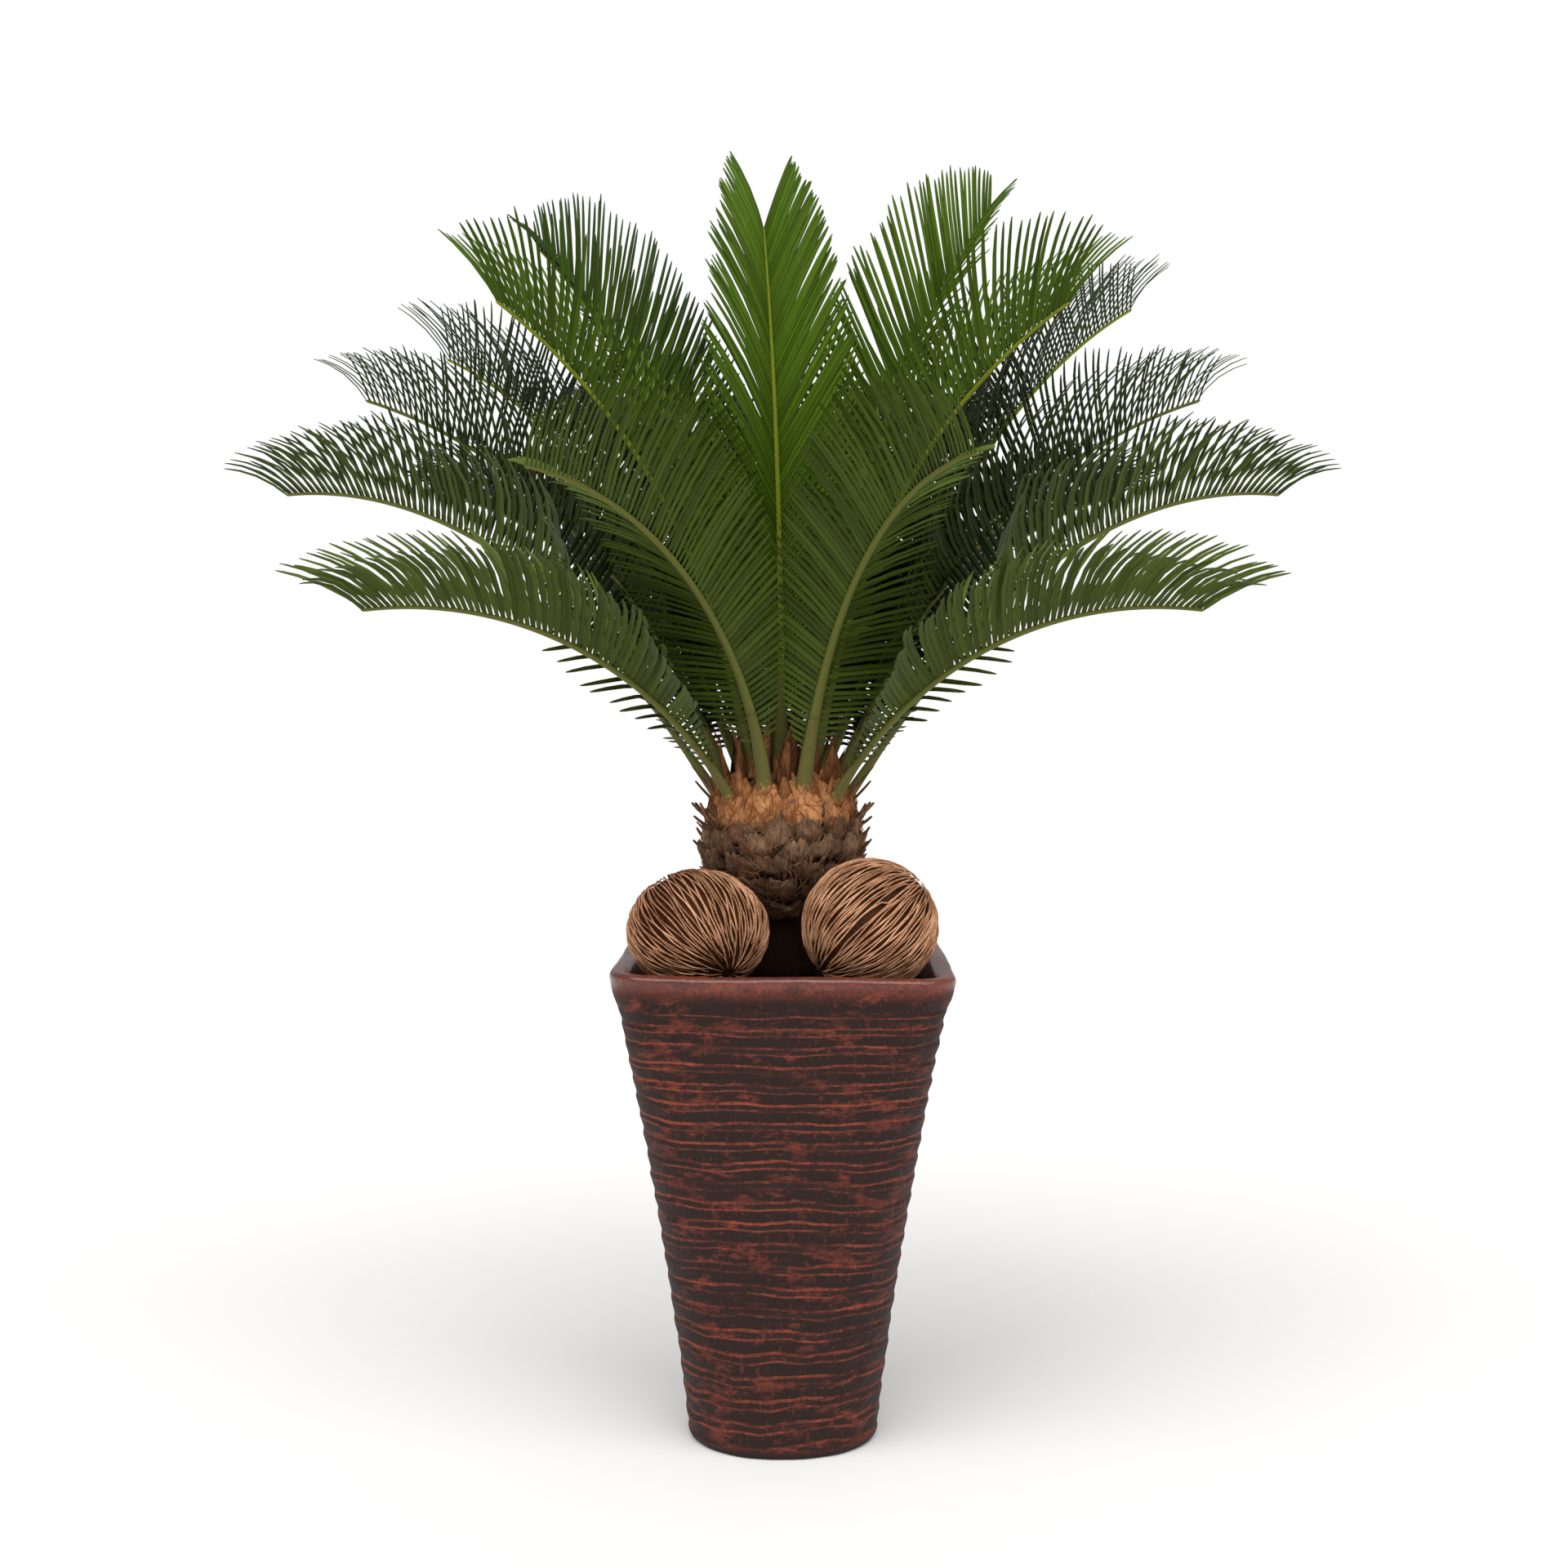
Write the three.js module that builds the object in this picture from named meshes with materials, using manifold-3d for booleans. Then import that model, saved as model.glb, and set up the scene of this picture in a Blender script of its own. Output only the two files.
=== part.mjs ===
// Sago palm in a tall ridged pot, in millimetres, +Z up. The origin is the centre of
// the pot's flat underside and the plant faces -Y. The pot is square at the rim and
// round at the foot. A short scaly trunk stands in the soil and carries a crown of
// feather-shaped fronds, and two fibrous seed balls lie on the soil before it.

import * as THREE from 'three';
import { mergeVertices } from 'three/addons/utils/BufferGeometryUtils.js';
import Module from 'manifold-3d';

const wasm = await Module();
wasm.setup();

// ---- driving dimensions ----

const CLEARANCE = 0.3; // between two pieces that rest on each other

const POT_HEIGHT = 326;
const POT_FOOT_HALF = 64; // half width of the round foot
const POT_RIM_HALF = 110; // half width of the square rim
const POT_FLARE = 1.16; // 1 is a straight cone, more opens towards the rim
const POT_RIM_CORNER = 24; // corner radius at the rim
const POT_SIDE_FLAT = 3; // the corner arcs of the foot stop this short of a full circle
const POT_CORNER_STEPS = 7;
const POT_WALL = 11;
const POT_FLOOR = 12;
const POT_FOOT_ROUNDING = 5;
const RIDGE_COUNT = 22;
const RIDGE_DEPTH = 1.6;
const RIDGE_CREST = 0.55; // place of a ridge's crest between two grooves
const RIDGES_START = 8;
const LIP_DROP = 24; // height of the smooth band under the rim
const LIP_BULGE = 1.8;
const LIP_ROUNDING = 5;

const SOIL_TOP = 308;

const TRUNK_Y = 14; // the trunk stands a little behind the pot's axis
const TRUNK_COLUMNS = 28; // two for each scale
const SCALE_DEPTH = 3;
const SCALES_FROM = 366;
const SCALES_TO = 418;
const SCALE_ROW = 8.5;
const DOME_RADIUS = 46; // the dome that the fronds grow from
const DOME_HEIGHT = 34;
const DOME_BASE = 420;
const DOME_STEPS = 7;

const SEED_BALLS = [
  { name: 'seed_ball_left', at: [-55.5, -50, 347.5], radii: [46.5, 41, 40.5] },
  { name: 'seed_ball_right', at: [57, -50, 351], radii: [44.7, 44, 44] },
];

// The fronds. seat and heading are angles round the trunk from +X, in degrees: where
// the stalk stands on the dome, and which way the frond leans. reach is the seat's
// distance from the trunk's axis. The blade climbs at the angle rise at its foot and
// ends at the angle tip. A high bend keeps it straight for longer. rows says how each of
// the two rows of leaflets differs from ROW, first the row on a left frond's left side.
const FROND_PAIRS = [
  {
    name: 'low_front', seat: 222, reach: 44, heading: 209, rise: 58, tip: -8, bend: 1.05, length: 302,
    rows: [{ from: -4, to: 34, by: 0.62, share: 0.26, splay: [70, 38, 1.3] }, { from: -5, to: 50, share: 0.26 }],
    splay: [84, 38, 1.6], last: 0.76,
  },
  {
    name: 'low_side', seat: 181, reach: 43, heading: 175, rise: 55, tip: -6, bend: 1.95, length: 383,
    rows: [{ from: -16, to: 40, after: 0.24, by: 0.46, splay: [80, 40, 2.2] }, { to: 58 }],
    splay: [84, 40, 1.8], last: 0.48,
  },
  { name: 'low_back', seat: 142, reach: 43, heading: 142, rise: 56, tip: 8, bend: 1.6, length: 370 },
  { name: 'low_rear', seat: 112, reach: 43, heading: 112, rise: 55, tip: -8, bend: 1.3, length: 345 },
  {
    name: 'mid_side', seat: 166, reach: 37, heading: 167, rise: 67, tip: 17, bend: 1.3, length: 390,
    rows: [{ to: 36 }, { to: 56 }], splay: [84, 42, 1.8], last: 0.46,
  },
  {
    name: 'mid_back', seat: 147, reach: 31, heading: 150, rise: 63, tip: 23, bend: 2, length: 405,
    rows: [{ to: 42 }, { to: 58 }], splay: [84, 42, 1.7], last: 0.6,
    right: { tip: 28, bend: 2.1, length: 440 },
  },
  { name: 'mid_rear', seat: 124, reach: 34, heading: 120, rise: 67, tip: 16, bend: 1.3, length: 385 },
  {
    name: 'front', seat: 253, reach: 40, heading: 238, rise: 83, tip: 3, bend: 0.77, length: 345,
    rows: [
      { from: 15, to: 45, share: 0.24, peak: 0.8, splay: [66, 38, 1] },
      { from: -12, to: 40, by: 1, share: 0.2, peak: 0.25, splay: [84, 44, 1.3] },
    ],
    splay: [84, 38, 1.3], last: 0.5,
    right: { seat: 251, heading: 244, rise: 74, tip: 1, bend: 1.28, length: 328 },
  },
  {
    name: 'high_side', seat: 196, reach: 22, heading: 200, rise: 79, tip: 35, bend: 1.35, length: 362,
    rows: [{ share: 0.26, peak: 0.75, splay: [76, 30, 3] }, { share: 0.28 }], splay: [86, 20, 1.8], last: 0.58,
    right: { tip: 32, bend: 1.5 },
  },
  {
    name: 'high_back', seat: 132, reach: 21, heading: 152, rise: 79, tip: 44, bend: 1.3, length: 419,
    rows: [{ to: 16 }, { to: 50, share: 0.24, peak: 0.72, splay: [68, 28, 1] }], splay: [84, 8, 1.8], last: 0.34,
    right: { heading: 150, rise: 81, tip: 52, length: 425 },
  },
];
const FROND_SINGLES = [
  { name: 'low_centre', seat: 84, reach: 43, heading: 84, rise: 56, tip: -5, bend: 1.5, length: 360 },
  { name: 'mid_centre', seat: 97, reach: 33, heading: 94, rise: 68, tip: 14, bend: 1.4, length: 385 },
  {
    name: 'top', seat: 97, reach: 9, heading: 104, rise: 90, tip: 72, bend: 1.3, length: 379,
    rows: [{ to: 22, share: 0.28 }, { to: 22, share: 0.28 }], splay: [46, 24, 0.7], last: 0.55,
  },
];

const STALK_SHARE = 0.1; // bare part of a frond, as a share of its length
const STALK_STEPS = 3;
const LEAFLET_PAIRS = 14;
const LEAFLET_FILL = 0.72; // width of a leaflet's foot over the spacing
const LEAFLET_SHARE = 0.25; // longest leaflet over the frond's length, where a row has no own share
const LEAFLET_FIRST = 0.17; // first leaflet over the longest
const LEAFLET_LAST = 0.45; // last leaflet over the longest, where a frond has no last of its own
const LEAFLET_FALL = 2.2; // more keeps the leaflets long until nearer the tip
const LEAFLET_SPLAY = [86, 24, 1.3]; // angle to the rib at the first and last leaflet, and its bend
// A row stands up from flat by the angle from up to the part after of the leaves, and by the
// angle to from the part by on. Its longest leaflets stand at the part peak of the leaves.
const ROW = { from: 5, to: 50, after: 0, by: 0.4, share: LEAFLET_SHARE, peak: 0.38 };
const LEAFLET_CLEARANCE = 0.5;
const LEAFLET_TRIES = [1, 0.75, 0.5]; // shorter lengths tried where one would touch
const RIB_WIDTH = [9, 5, 1.8]; // at the foot, at the first leaflet and at the tip
const RIB_DEPTH = [8, 4.5, 1.8];

const LEAF_BASES = [
  // rings of dry leaf bases that hug the shoulder and stand between the stalks
  { count: 14, radius: 45, foot: 408, height: 32, width: 19, depth: 9, lean: 2, turn: 0.5 },
  { count: 11, radius: 38, foot: 428, height: 34, width: 14, depth: 7, lean: 8, turn: 0.2 },
  { count: 9, radius: 28, foot: 438, height: 38, width: 11, depth: 6, lean: 6, turn: 0.6 },
];
const LEAF_BASE_TIP = 0.25; // width of the tip over that of the foot

// ---- helpers ----

const degrees = THREE.MathUtils.degToRad;
const lerp = THREE.MathUtils.lerp;

function material(color, roughness) {
  return new THREE.MeshStandardMaterial({ color, roughness, metalness: 0 });
}

function meshOf(name, geometry, finish) {
  geometry.computeVertexNormals();
  const mesh = new THREE.Mesh(geometry, finish);
  mesh.name = name;
  return mesh;
}

function geometryOf(points, faces) {
  const geometry = new THREE.BufferGeometry();
  const numbers = points.flatMap((point) => point.toArray());
  geometry.setAttribute('position', new THREE.Float32BufferAttribute(numbers, 3));
  geometry.setIndex(faces.flat());
  return geometry;
}

// A closed body through rings of equally many points, from its lowest end to its
// last, each ring counter-clockwise seen from the end it closes at.
function loft(rings) {
  const count = rings[0].length;
  const points = rings.flat();
  const faces = [];
  for (let ring = 0; ring + 1 < rings.length; ring += 1) {
    for (let i = 0; i < count; i += 1) {
      const a = ring * count + i;
      const b = ring * count + ((i + 1) % count);
      faces.push([a, b, b + count], [a, b + count, a + count]);
    }
  }
  const centre = (ring) => ring.reduce((sum, p) => sum.add(p), new THREE.Vector3()).divideScalar(count);
  const first = points.push(centre(rings[0])) - 1;
  const last = points.push(centre(rings[rings.length - 1])) - 1;
  const top = (rings.length - 1) * count;
  for (let i = 0; i < count; i += 1) {
    const next = (i + 1) % count;
    faces.push([first, next, i], [last, top + i, top + next]);
  }
  return geometryOf(points, faces);
}

function solidOf(geometry) {
  const plain = geometry.clone();
  plain.deleteAttribute('normal');
  plain.deleteAttribute('uv');
  const merged = mergeVertices(plain, 1e-4);
  return new wasm.Manifold(new wasm.Mesh({
    numProp: 3,
    vertProperties: merged.attributes.position.array,
    triVerts: Uint32Array.from(merged.index.array),
  }));
}

function geometryOfSolid(solid) {
  const mesh = solid.getMesh();
  const geometry = new THREE.BufferGeometry();
  geometry.setAttribute('position', new THREE.BufferAttribute(mesh.vertProperties, 3));
  geometry.setIndex(new THREE.BufferAttribute(mesh.triVerts, 1));
  return geometry;
}

// ---- pot and soil ----

function potHalf(z) {
  return lerp(POT_FOOT_HALF, POT_RIM_HALF, (z / POT_HEIGHT) ** POT_FLARE);
}

function potCorner(z) {
  const half = potHalf(z);
  return lerp(half - POT_SIDE_FLAT, POT_RIM_CORNER, (z / POT_HEIGHT) ** POT_FLARE);
}

// A square of round corners, pushed out by grow all round.
function potRing(z, grow) {
  const half = potHalf(z);
  const corner = potCorner(z);
  const points = [];
  for (let side = 0; side < 4; side += 1) {
    const middle = degrees(90 * side + 45);
    const reach = (half - corner) * Math.SQRT2;
    for (let step = 0; step <= POT_CORNER_STEPS; step += 1) {
      const angle = degrees(90 * (side + step / POT_CORNER_STEPS));
      points.push(new THREE.Vector3(
        reach * Math.cos(middle) + (corner + grow) * Math.cos(angle),
        reach * Math.sin(middle) + (corner + grow) * Math.sin(angle),
        z,
      ));
    }
  }
  return points;
}

function pot() {
  const lipFoot = POT_HEIGHT - LIP_DROP;
  const ridge = (lipFoot - RIDGES_START) / RIDGE_COUNT;
  const rings = [
    potRing(0, -POT_FOOT_ROUNDING),
    potRing(POT_FOOT_ROUNDING * 0.3, -POT_FOOT_ROUNDING * 0.3),
    potRing(RIDGES_START, 0),
  ];
  for (let i = 0; i < RIDGE_COUNT; i += 1) {
    const foot = RIDGES_START + i * ridge;
    rings.push(potRing(foot + ridge * RIDGE_CREST, 0));
    rings.push(potRing(foot + ridge, -RIDGE_DEPTH));
  }
  rings.push(potRing(lipFoot + LIP_DROP / 2, LIP_BULGE));
  rings.push(potRing(POT_HEIGHT - LIP_ROUNDING, LIP_BULGE));
  rings.push(potRing(POT_HEIGHT, LIP_BULGE - LIP_ROUNDING));
  rings.push(potRing(POT_HEIGHT, LIP_ROUNDING - POT_WALL));
  rings.push(potRing(POT_HEIGHT - LIP_ROUNDING, -POT_WALL));
  rings.push(potRing(SOIL_TOP / 2, -POT_WALL));
  rings.push(potRing(POT_FLOOR, -POT_WALL));
  return loft(rings);
}

function soil() {
  const inside = -POT_WALL - CLEARANCE;
  const foot = POT_FLOOR + CLEARANCE;
  let solid = solidOf(loft([
    potRing(foot, inside),
    potRing(SOIL_TOP / 2, inside),
    potRing(SOIL_TOP, inside),
  ]));
  for (const ball of SEED_BALLS) {
    solid = solid.subtract(solidOf(seedBall(ball, CLEARANCE)));
  }
  return geometryOfSolid(solid);
}

function seedBall({ at, radii }, grow = 0) {
  const geometry = new THREE.SphereGeometry(1, 20, 12);
  geometry.rotateX(Math.PI / 2);
  geometry.scale(...radii.map((radius) => radius + grow));
  geometry.translate(...at);
  return geometry;
}

// ---- trunk ----

const TRUNK_PROFILE = [
  // radius and height, from the cut at the soil up to the shoulder
  [29, SOIL_TOP + CLEARANCE], [25, 320], [24, 345], [27, 358], [37, 369], [46, 379],
  [50.5, 388], [52, 397], [51, 406], [48.5, 413], [DOME_RADIUS, DOME_BASE],
];

function trunkRing(radius, z, lift = () => 0) {
  const points = [];
  for (let i = 0; i < TRUNK_COLUMNS; i += 1) {
    const angle = (2 * Math.PI * i) / TRUNK_COLUMNS;
    const reach = radius + lift(i);
    points.push(new THREE.Vector3(reach * Math.cos(angle), TRUNK_Y + reach * Math.sin(angle), z));
  }
  return points;
}

function trunkRadius(z) {
  const above = Math.max(1, TRUNK_PROFILE.findIndex(([, height]) => height >= z));
  const [lowRadius, lowZ] = TRUNK_PROFILE[above - 1];
  const [highRadius, highZ] = TRUNK_PROFILE[above];
  return lerp(lowRadius, highRadius, (z - lowZ) / (highZ - lowZ));
}

function domePoint(reach, azimuth) {
  const climb = Math.acos(reach / DOME_RADIUS);
  return new THREE.Vector3(
    reach * Math.cos(azimuth),
    TRUNK_Y + reach * Math.sin(azimuth),
    DOME_BASE + DOME_HEIGHT * Math.sin(climb),
  );
}

function domeNormal(reach, azimuth) {
  const climb = Math.acos(reach / DOME_RADIUS);
  const out = Math.cos(climb) / DOME_RADIUS;
  return new THREE.Vector3(
    out * Math.cos(azimuth),
    out * Math.sin(azimuth),
    Math.sin(climb) / DOME_HEIGHT,
  ).normalize();
}

// One dry leaf base: a flat spike with a blunt tip, leaning out from the trunk.
function leafBase({ radius, foot, height, width, depth, lean }, angle) {
  const tipWidth = width * LEAF_BASE_TIP;
  const geometry = new THREE.CylinderGeometry(tipWidth / Math.SQRT2, width / Math.SQRT2, height, 4);
  geometry.rotateY(Math.PI / 4);
  geometry.rotateX(Math.PI / 2);
  geometry.scale(1, depth / width, 1);
  geometry.translate(0, 0, height / 2);
  geometry.rotateX(degrees(-lean));
  geometry.translate(0, -radius, foot);
  geometry.rotateZ(angle);
  geometry.translate(0, TRUNK_Y, 0);
  return geometry;
}

function trunk(stalks) {
  const rings = TRUNK_PROFILE.slice(0, 4).map(([radius, z]) => trunkRing(radius, z));
  let row = 0;
  for (let z = SCALES_FROM; z <= SCALES_TO; z += SCALE_ROW) {
    const offset = row % 2;
    rings.push(trunkRing(trunkRadius(z), z, (i) => ((i + offset) % 2) * SCALE_DEPTH));
    row += 1;
  }
  for (let step = 0; step < DOME_STEPS; step += 1) {
    const climb = (Math.PI / 2) * (step / DOME_STEPS);
    rings.push(trunkRing(DOME_RADIUS * Math.cos(climb), DOME_BASE + DOME_HEIGHT * Math.sin(climb)));
  }
  let solid = solidOf(loft(rings));
  for (const ring of LEAF_BASES) {
    for (let i = 0; i < ring.count; i += 1) {
      const spike = solidOf(leafBase(ring, (2 * Math.PI * (i + ring.turn)) / ring.count));
      if (!stalks.some((stalk) => touches(spike, stalk))) {
        solid = solid.add(spike);
      }
    }
  }
  return geometryOfSolid(solid);
}

// ---- fronds ----

// Points along a frond's rib, each with its own directions: ahead along the rib,
// aside to the frond's left, and up out of its upper face.
function ribFrames(frond) {
  const azimuth = degrees(frond.heading);
  const seat = degrees(frond.seat);
  const foot = domePoint(frond.reach, seat);
  const normal = domeNormal(frond.reach, seat);
  foot.addScaledVector(normal, CLEARANCE);
  const aside = new THREE.Vector3(-Math.sin(azimuth), Math.cos(azimuth), 0);
  const directionAt = (share) => {
    const climb = degrees(frond.rise + (frond.tip - frond.rise) * share ** frond.bend);
    return new THREE.Vector3(
      Math.cos(climb) * Math.cos(azimuth),
      Math.cos(climb) * Math.sin(azimuth),
      Math.sin(climb),
    );
  };
  const frames = [];
  const at = foot.clone();
  let before = 0;
  for (const share of ribShares()) {
    const middle = directionAt((before + share) / 2);
    at.addScaledVector(middle, (share - before) * frond.length);
    const ahead = directionAt(share);
    const up = new THREE.Vector3().crossVectors(ahead, aside);
    const width = taper(RIB_WIDTH, share);
    const depth = taper(RIB_DEPTH, share);
    frames.push({ share, at: at.clone(), ahead, aside, up, width, depth });
    before = share;
  }
  return { frames, normal };
}

// Places along a rib: the stalk's steps, then the two edges of each leaflet's foot.
function ribShares() {
  const shares = [];
  for (let i = 0; i < STALK_STEPS; i += 1) {
    shares.push((STALK_SHARE * i) / STALK_STEPS);
  }
  const pitch = (1 - STALK_SHARE) / LEAFLET_PAIRS;
  for (let i = 0; i < LEAFLET_PAIRS; i += 1) {
    const middle = STALK_SHARE + (i + 0.5) * pitch;
    shares.push(middle - (pitch * LEAFLET_FILL) / 2, middle + (pitch * LEAFLET_FILL) / 2);
  }
  return shares;
}

function taper([foot, shoulder, tip], share) {
  if (share < STALK_SHARE) {
    return lerp(foot, shoulder, share / STALK_SHARE);
  }
  return lerp(shoulder, tip, (share - STALK_SHARE) / (1 - STALK_SHARE));
}

// The four corners of the rib's section, counter-clockwise seen from its tip.
function ribSection({ at, aside, up, width, depth }, grow = 0) {
  const corner = (a, b) => at.clone()
    .addScaledVector(aside, a * (width / 2 + grow))
    .addScaledVector(up, b * (depth / 2 + grow));
  return [corner(-1, -1), corner(1, -1), corner(1, 1), corner(-1, 1)];
}

// The foot's section lies along the dome, so that the stalk stands on it all round.
function footSection(frame, normal, grow = 0) {
  const lean = frame.ahead.dot(normal);
  return ribSection(frame, grow).map((point) => {
    const rise = point.clone().sub(frame.at).dot(normal);
    return point.addScaledVector(frame.ahead, -rise / lean);
  });
}

function ribRings({ frames, normal }, grow = 0) {
  return frames.map((frame, i) => (i ? ribSection(frame, grow) : footSection(frame, normal, grow)));
}

function leafletLength(frond, leafy, row) {
  const longest = frond.length * row.share;
  if (leafy < row.peak) {
    const climb = Math.sin((Math.PI / 2) * (leafy / row.peak));
    return longest * lerp(LEAFLET_FIRST, 1, climb);
  }
  const fall = ((leafy - row.peak) / (1 - row.peak)) ** LEAFLET_FALL;
  return longest * lerp(1, frond.last, fall);
}

function leafletDirection({ ahead, aside, up }, leafy, side, row) {
  const [first, last, bend] = row.splay;
  const splay = degrees(lerp(first, last, leafy ** bend));
  const fold = degrees(lerp(row.from, row.to, THREE.MathUtils.smoothstep(leafy, row.after, row.by)));
  return new THREE.Vector3()
    .addScaledVector(ahead, Math.cos(splay))
    .addScaledVector(aside, side * Math.sin(splay) * Math.cos(fold))
    .addScaledVector(up, Math.sin(splay) * Math.sin(fold));
}

// A leaflet is a spike on one side of the rib between two of its sections. corners
// are the four points of its foot, counter-clockwise seen from outside the rib.
function leafletSolid(corners, apex) {
  const middle = new THREE.Vector3();
  corners.forEach((corner) => middle.addScaledVector(corner, 0.25));
  const out = apex.clone().sub(middle).normalize().multiplyScalar(LEAFLET_CLEARANCE);
  const wide = corners.map((corner) => {
    const away = corner.clone().sub(middle).normalize().multiplyScalar(LEAFLET_CLEARANCE);
    return corner.clone().add(away).add(out);
  });
  const points = [...wide, apex.clone().add(out)];
  return solidOf(geometryOf(points, [[0, 1, 4], [1, 2, 4], [2, 3, 4], [3, 0, 4], [0, 3, 2], [0, 2, 1]]));
}

function touches(a, b) {
  const boxA = a.boundingBox();
  const boxB = b.boundingBox();
  const apart = [0, 1, 2].some((i) => boxA.max[i] < boxB.min[i] || boxB.max[i] < boxA.min[i]);
  return !apart && !a.intersect(b).isEmpty();
}

// Corner numbers of the leaflet's foot between sections i and i + 1, on each side.
function sideCorners(i, side) {
  const low = 4 * i;
  const high = low + 4;
  return side > 0 ? [low + 1, low + 2, high + 2, high + 1] : [low + 3, low, high, high + 3];
}

function frondGeometry(frond, rib, obstacles) {
  const rings = ribRings(rib);
  const points = rings.flat();
  const faces = [[0, 2, 1], [0, 3, 2]];
  const quad = ([a, b, c, d]) => faces.push([a, b, c], [a, c, d]);
  const spike = (corners, apex) => {
    const tip = points.push(apex) - 1;
    corners.forEach((corner, k) => faces.push([corner, corners[(k + 1) % 4], tip]));
  };
  const own = [];
  for (let i = 0; i + 1 < rings.length; i += 1) {
    const a = 4 * i;
    const b = a + 4;
    quad([a, a + 1, b + 1, b]);
    quad([a + 2, a + 3, b + 3, b + 2]);
    for (const side of [1, -1]) {
      const corners = sideCorners(i, side);
      const leaflet = (i - STALK_STEPS) % 2 === 0 && i >= STALK_STEPS;
      const foot = corners.map((corner) => points[corner]);
      const apex = leaflet && leafletApex(frond, rib.frames, i, side, foot, obstacles, own);
      if (apex) {
        spike(corners, apex);
      } else {
        quad(corners);
      }
    }
  }
  const end = rib.frames[rib.frames.length - 1];
  const reach = frond.length * (1 - end.share + LEAFLET_SHARE * frond.last);
  const lastCorner = 4 * (rings.length - 1);
  const cap = [0, 1, 2, 3].map((k) => lastCorner + k);
  spike(cap, end.at.clone().addScaledVector(end.ahead, reach));
  obstacles.push(...own);
  return geometryOf(points, faces);
}

// The tip of a leaflet that clears every obstacle, or null where none does.
function leafletApex(frond, frames, i, side, corners, obstacles, own) {
  const [low, high] = [frames[i], frames[i + 1]];
  const share = (low.share + high.share) / 2;
  const leafy = (share - STALK_SHARE) / (1 - STALK_SHARE);
  const root = low.at.clone().add(high.at).multiplyScalar(0.5);
  const row = frond.rows[side > 0 ? 0 : 1];
  const direction = leafletDirection(low, leafy, side, row);
  for (const part of LEAFLET_TRIES) {
    const apex = root.clone().addScaledVector(direction, part * leafletLength(frond, leafy, row));
    const solid = leafletSolid(corners, apex);
    const blocks = (obstacle) => obstacle.frond !== frond && touches(solid, obstacle.solid);
    if (!obstacles.some(blocks)) {
      own.push({ frond, solid });
      return apex;
    }
  }
  return null;
}

// A frond with its two rows in full. The rows of a right frond change sides.
function completed({ rows = [{}, {}], splay = LEAFLET_SPLAY, ...frond }, name, mirrored = false) {
  const full = rows.map((row) => ({ ...ROW, splay, ...row }));
  const place = mirrored ? { seat: 180 - frond.seat, heading: 180 - frond.heading } : {};
  return {
    last: LEAFLET_LAST,
    ...frond,
    ...place,
    name,
    rows: mirrored ? full.reverse() : full,
  };
}

function allFronds() {
  const fronds = [];
  for (const { right = {}, ...pair } of FROND_PAIRS) {
    fronds.push(completed(pair, `frond_${pair.name}_left`));
    fronds.push(completed({ ...pair, ...right }, `frond_${pair.name}_right`, true));
  }
  for (const single of FROND_SINGLES) {
    fronds.push(completed(single, `frond_${single.name}`));
  }
  return fronds;
}

// ---- the plant and its pot ----

const CERAMIC = material(0x4a2420, 0.45);
const EARTH = material(0x1c1511, 0.95);
const BARK = material(0x6b4a35, 0.9);
const SEED = material(0x8a6244, 0.85);
const LEAF = material(0x355a1e, 0.5);

const plant = new THREE.Group();
plant.add(meshOf('pot', pot(), CERAMIC));
plant.add(meshOf('soil', soil(), EARTH));

const fronds = allFronds();
const ribs = fronds.map((frond) => ribFrames(frond));
const ribSolids = ribs.map((rib) => solidOf(loft(ribRings(rib, CLEARANCE))));
const trunkGeometry = trunk(ribSolids);
plant.add(meshOf('trunk', trunkGeometry, BARK));

const obstacles = [{ solid: solidOf(trunkGeometry) }];
for (const ball of SEED_BALLS) {
  const geometry = seedBall(ball);
  plant.add(meshOf(ball.name, geometry, SEED));
  obstacles.push({ solid: solidOf(geometry) });
}
fronds.forEach((frond, i) => obstacles.push({ frond, solid: ribSolids[i] }));
fronds.forEach((frond, i) => {
  plant.add(meshOf(frond.name, frondGeometry(frond, ribs[i], obstacles), LEAF));
});

export default plant;
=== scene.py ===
# The looks of a potted sago palm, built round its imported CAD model. All sizes are in
# metres, in the model's own frame: the origin is the centre of the pot's underside,
# +Z is up and the plant faces -Y.

import math

import bmesh
import bpy
import numpy as np
from bpy.props import FloatProperty, FloatVectorProperty, IntProperty, PointerProperty
from bpy.types import Operator, Panel, PropertyGroup
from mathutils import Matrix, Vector, noise


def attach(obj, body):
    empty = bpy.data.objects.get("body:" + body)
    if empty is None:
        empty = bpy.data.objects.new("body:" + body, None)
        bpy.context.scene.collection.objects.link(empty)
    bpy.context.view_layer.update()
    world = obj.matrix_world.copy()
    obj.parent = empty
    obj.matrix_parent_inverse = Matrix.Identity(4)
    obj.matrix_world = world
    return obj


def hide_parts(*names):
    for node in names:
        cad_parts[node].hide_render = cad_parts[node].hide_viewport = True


bl_info = {
    "name": "Potted sago palm",
    "version": (1, 0, 0),
    "blender": (4, 5, 0),
    "location": "View3D > Sidebar > Sago palm",
    "description": "Builds the pot, trunk, seed balls and fronds of a sago palm",
    "category": "Object",
}

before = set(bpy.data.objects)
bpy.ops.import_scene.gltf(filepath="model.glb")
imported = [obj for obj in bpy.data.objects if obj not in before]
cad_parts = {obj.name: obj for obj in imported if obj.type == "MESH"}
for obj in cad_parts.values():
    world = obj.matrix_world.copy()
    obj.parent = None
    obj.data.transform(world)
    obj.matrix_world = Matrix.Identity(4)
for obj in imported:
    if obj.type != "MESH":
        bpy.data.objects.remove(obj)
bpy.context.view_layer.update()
BODY = "root"
CLEARANCE = 0.0003  # gap between two pieces that touch
SAME_POINT = 1e-6  # points closer than this are merged

# ---- settings ----


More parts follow.
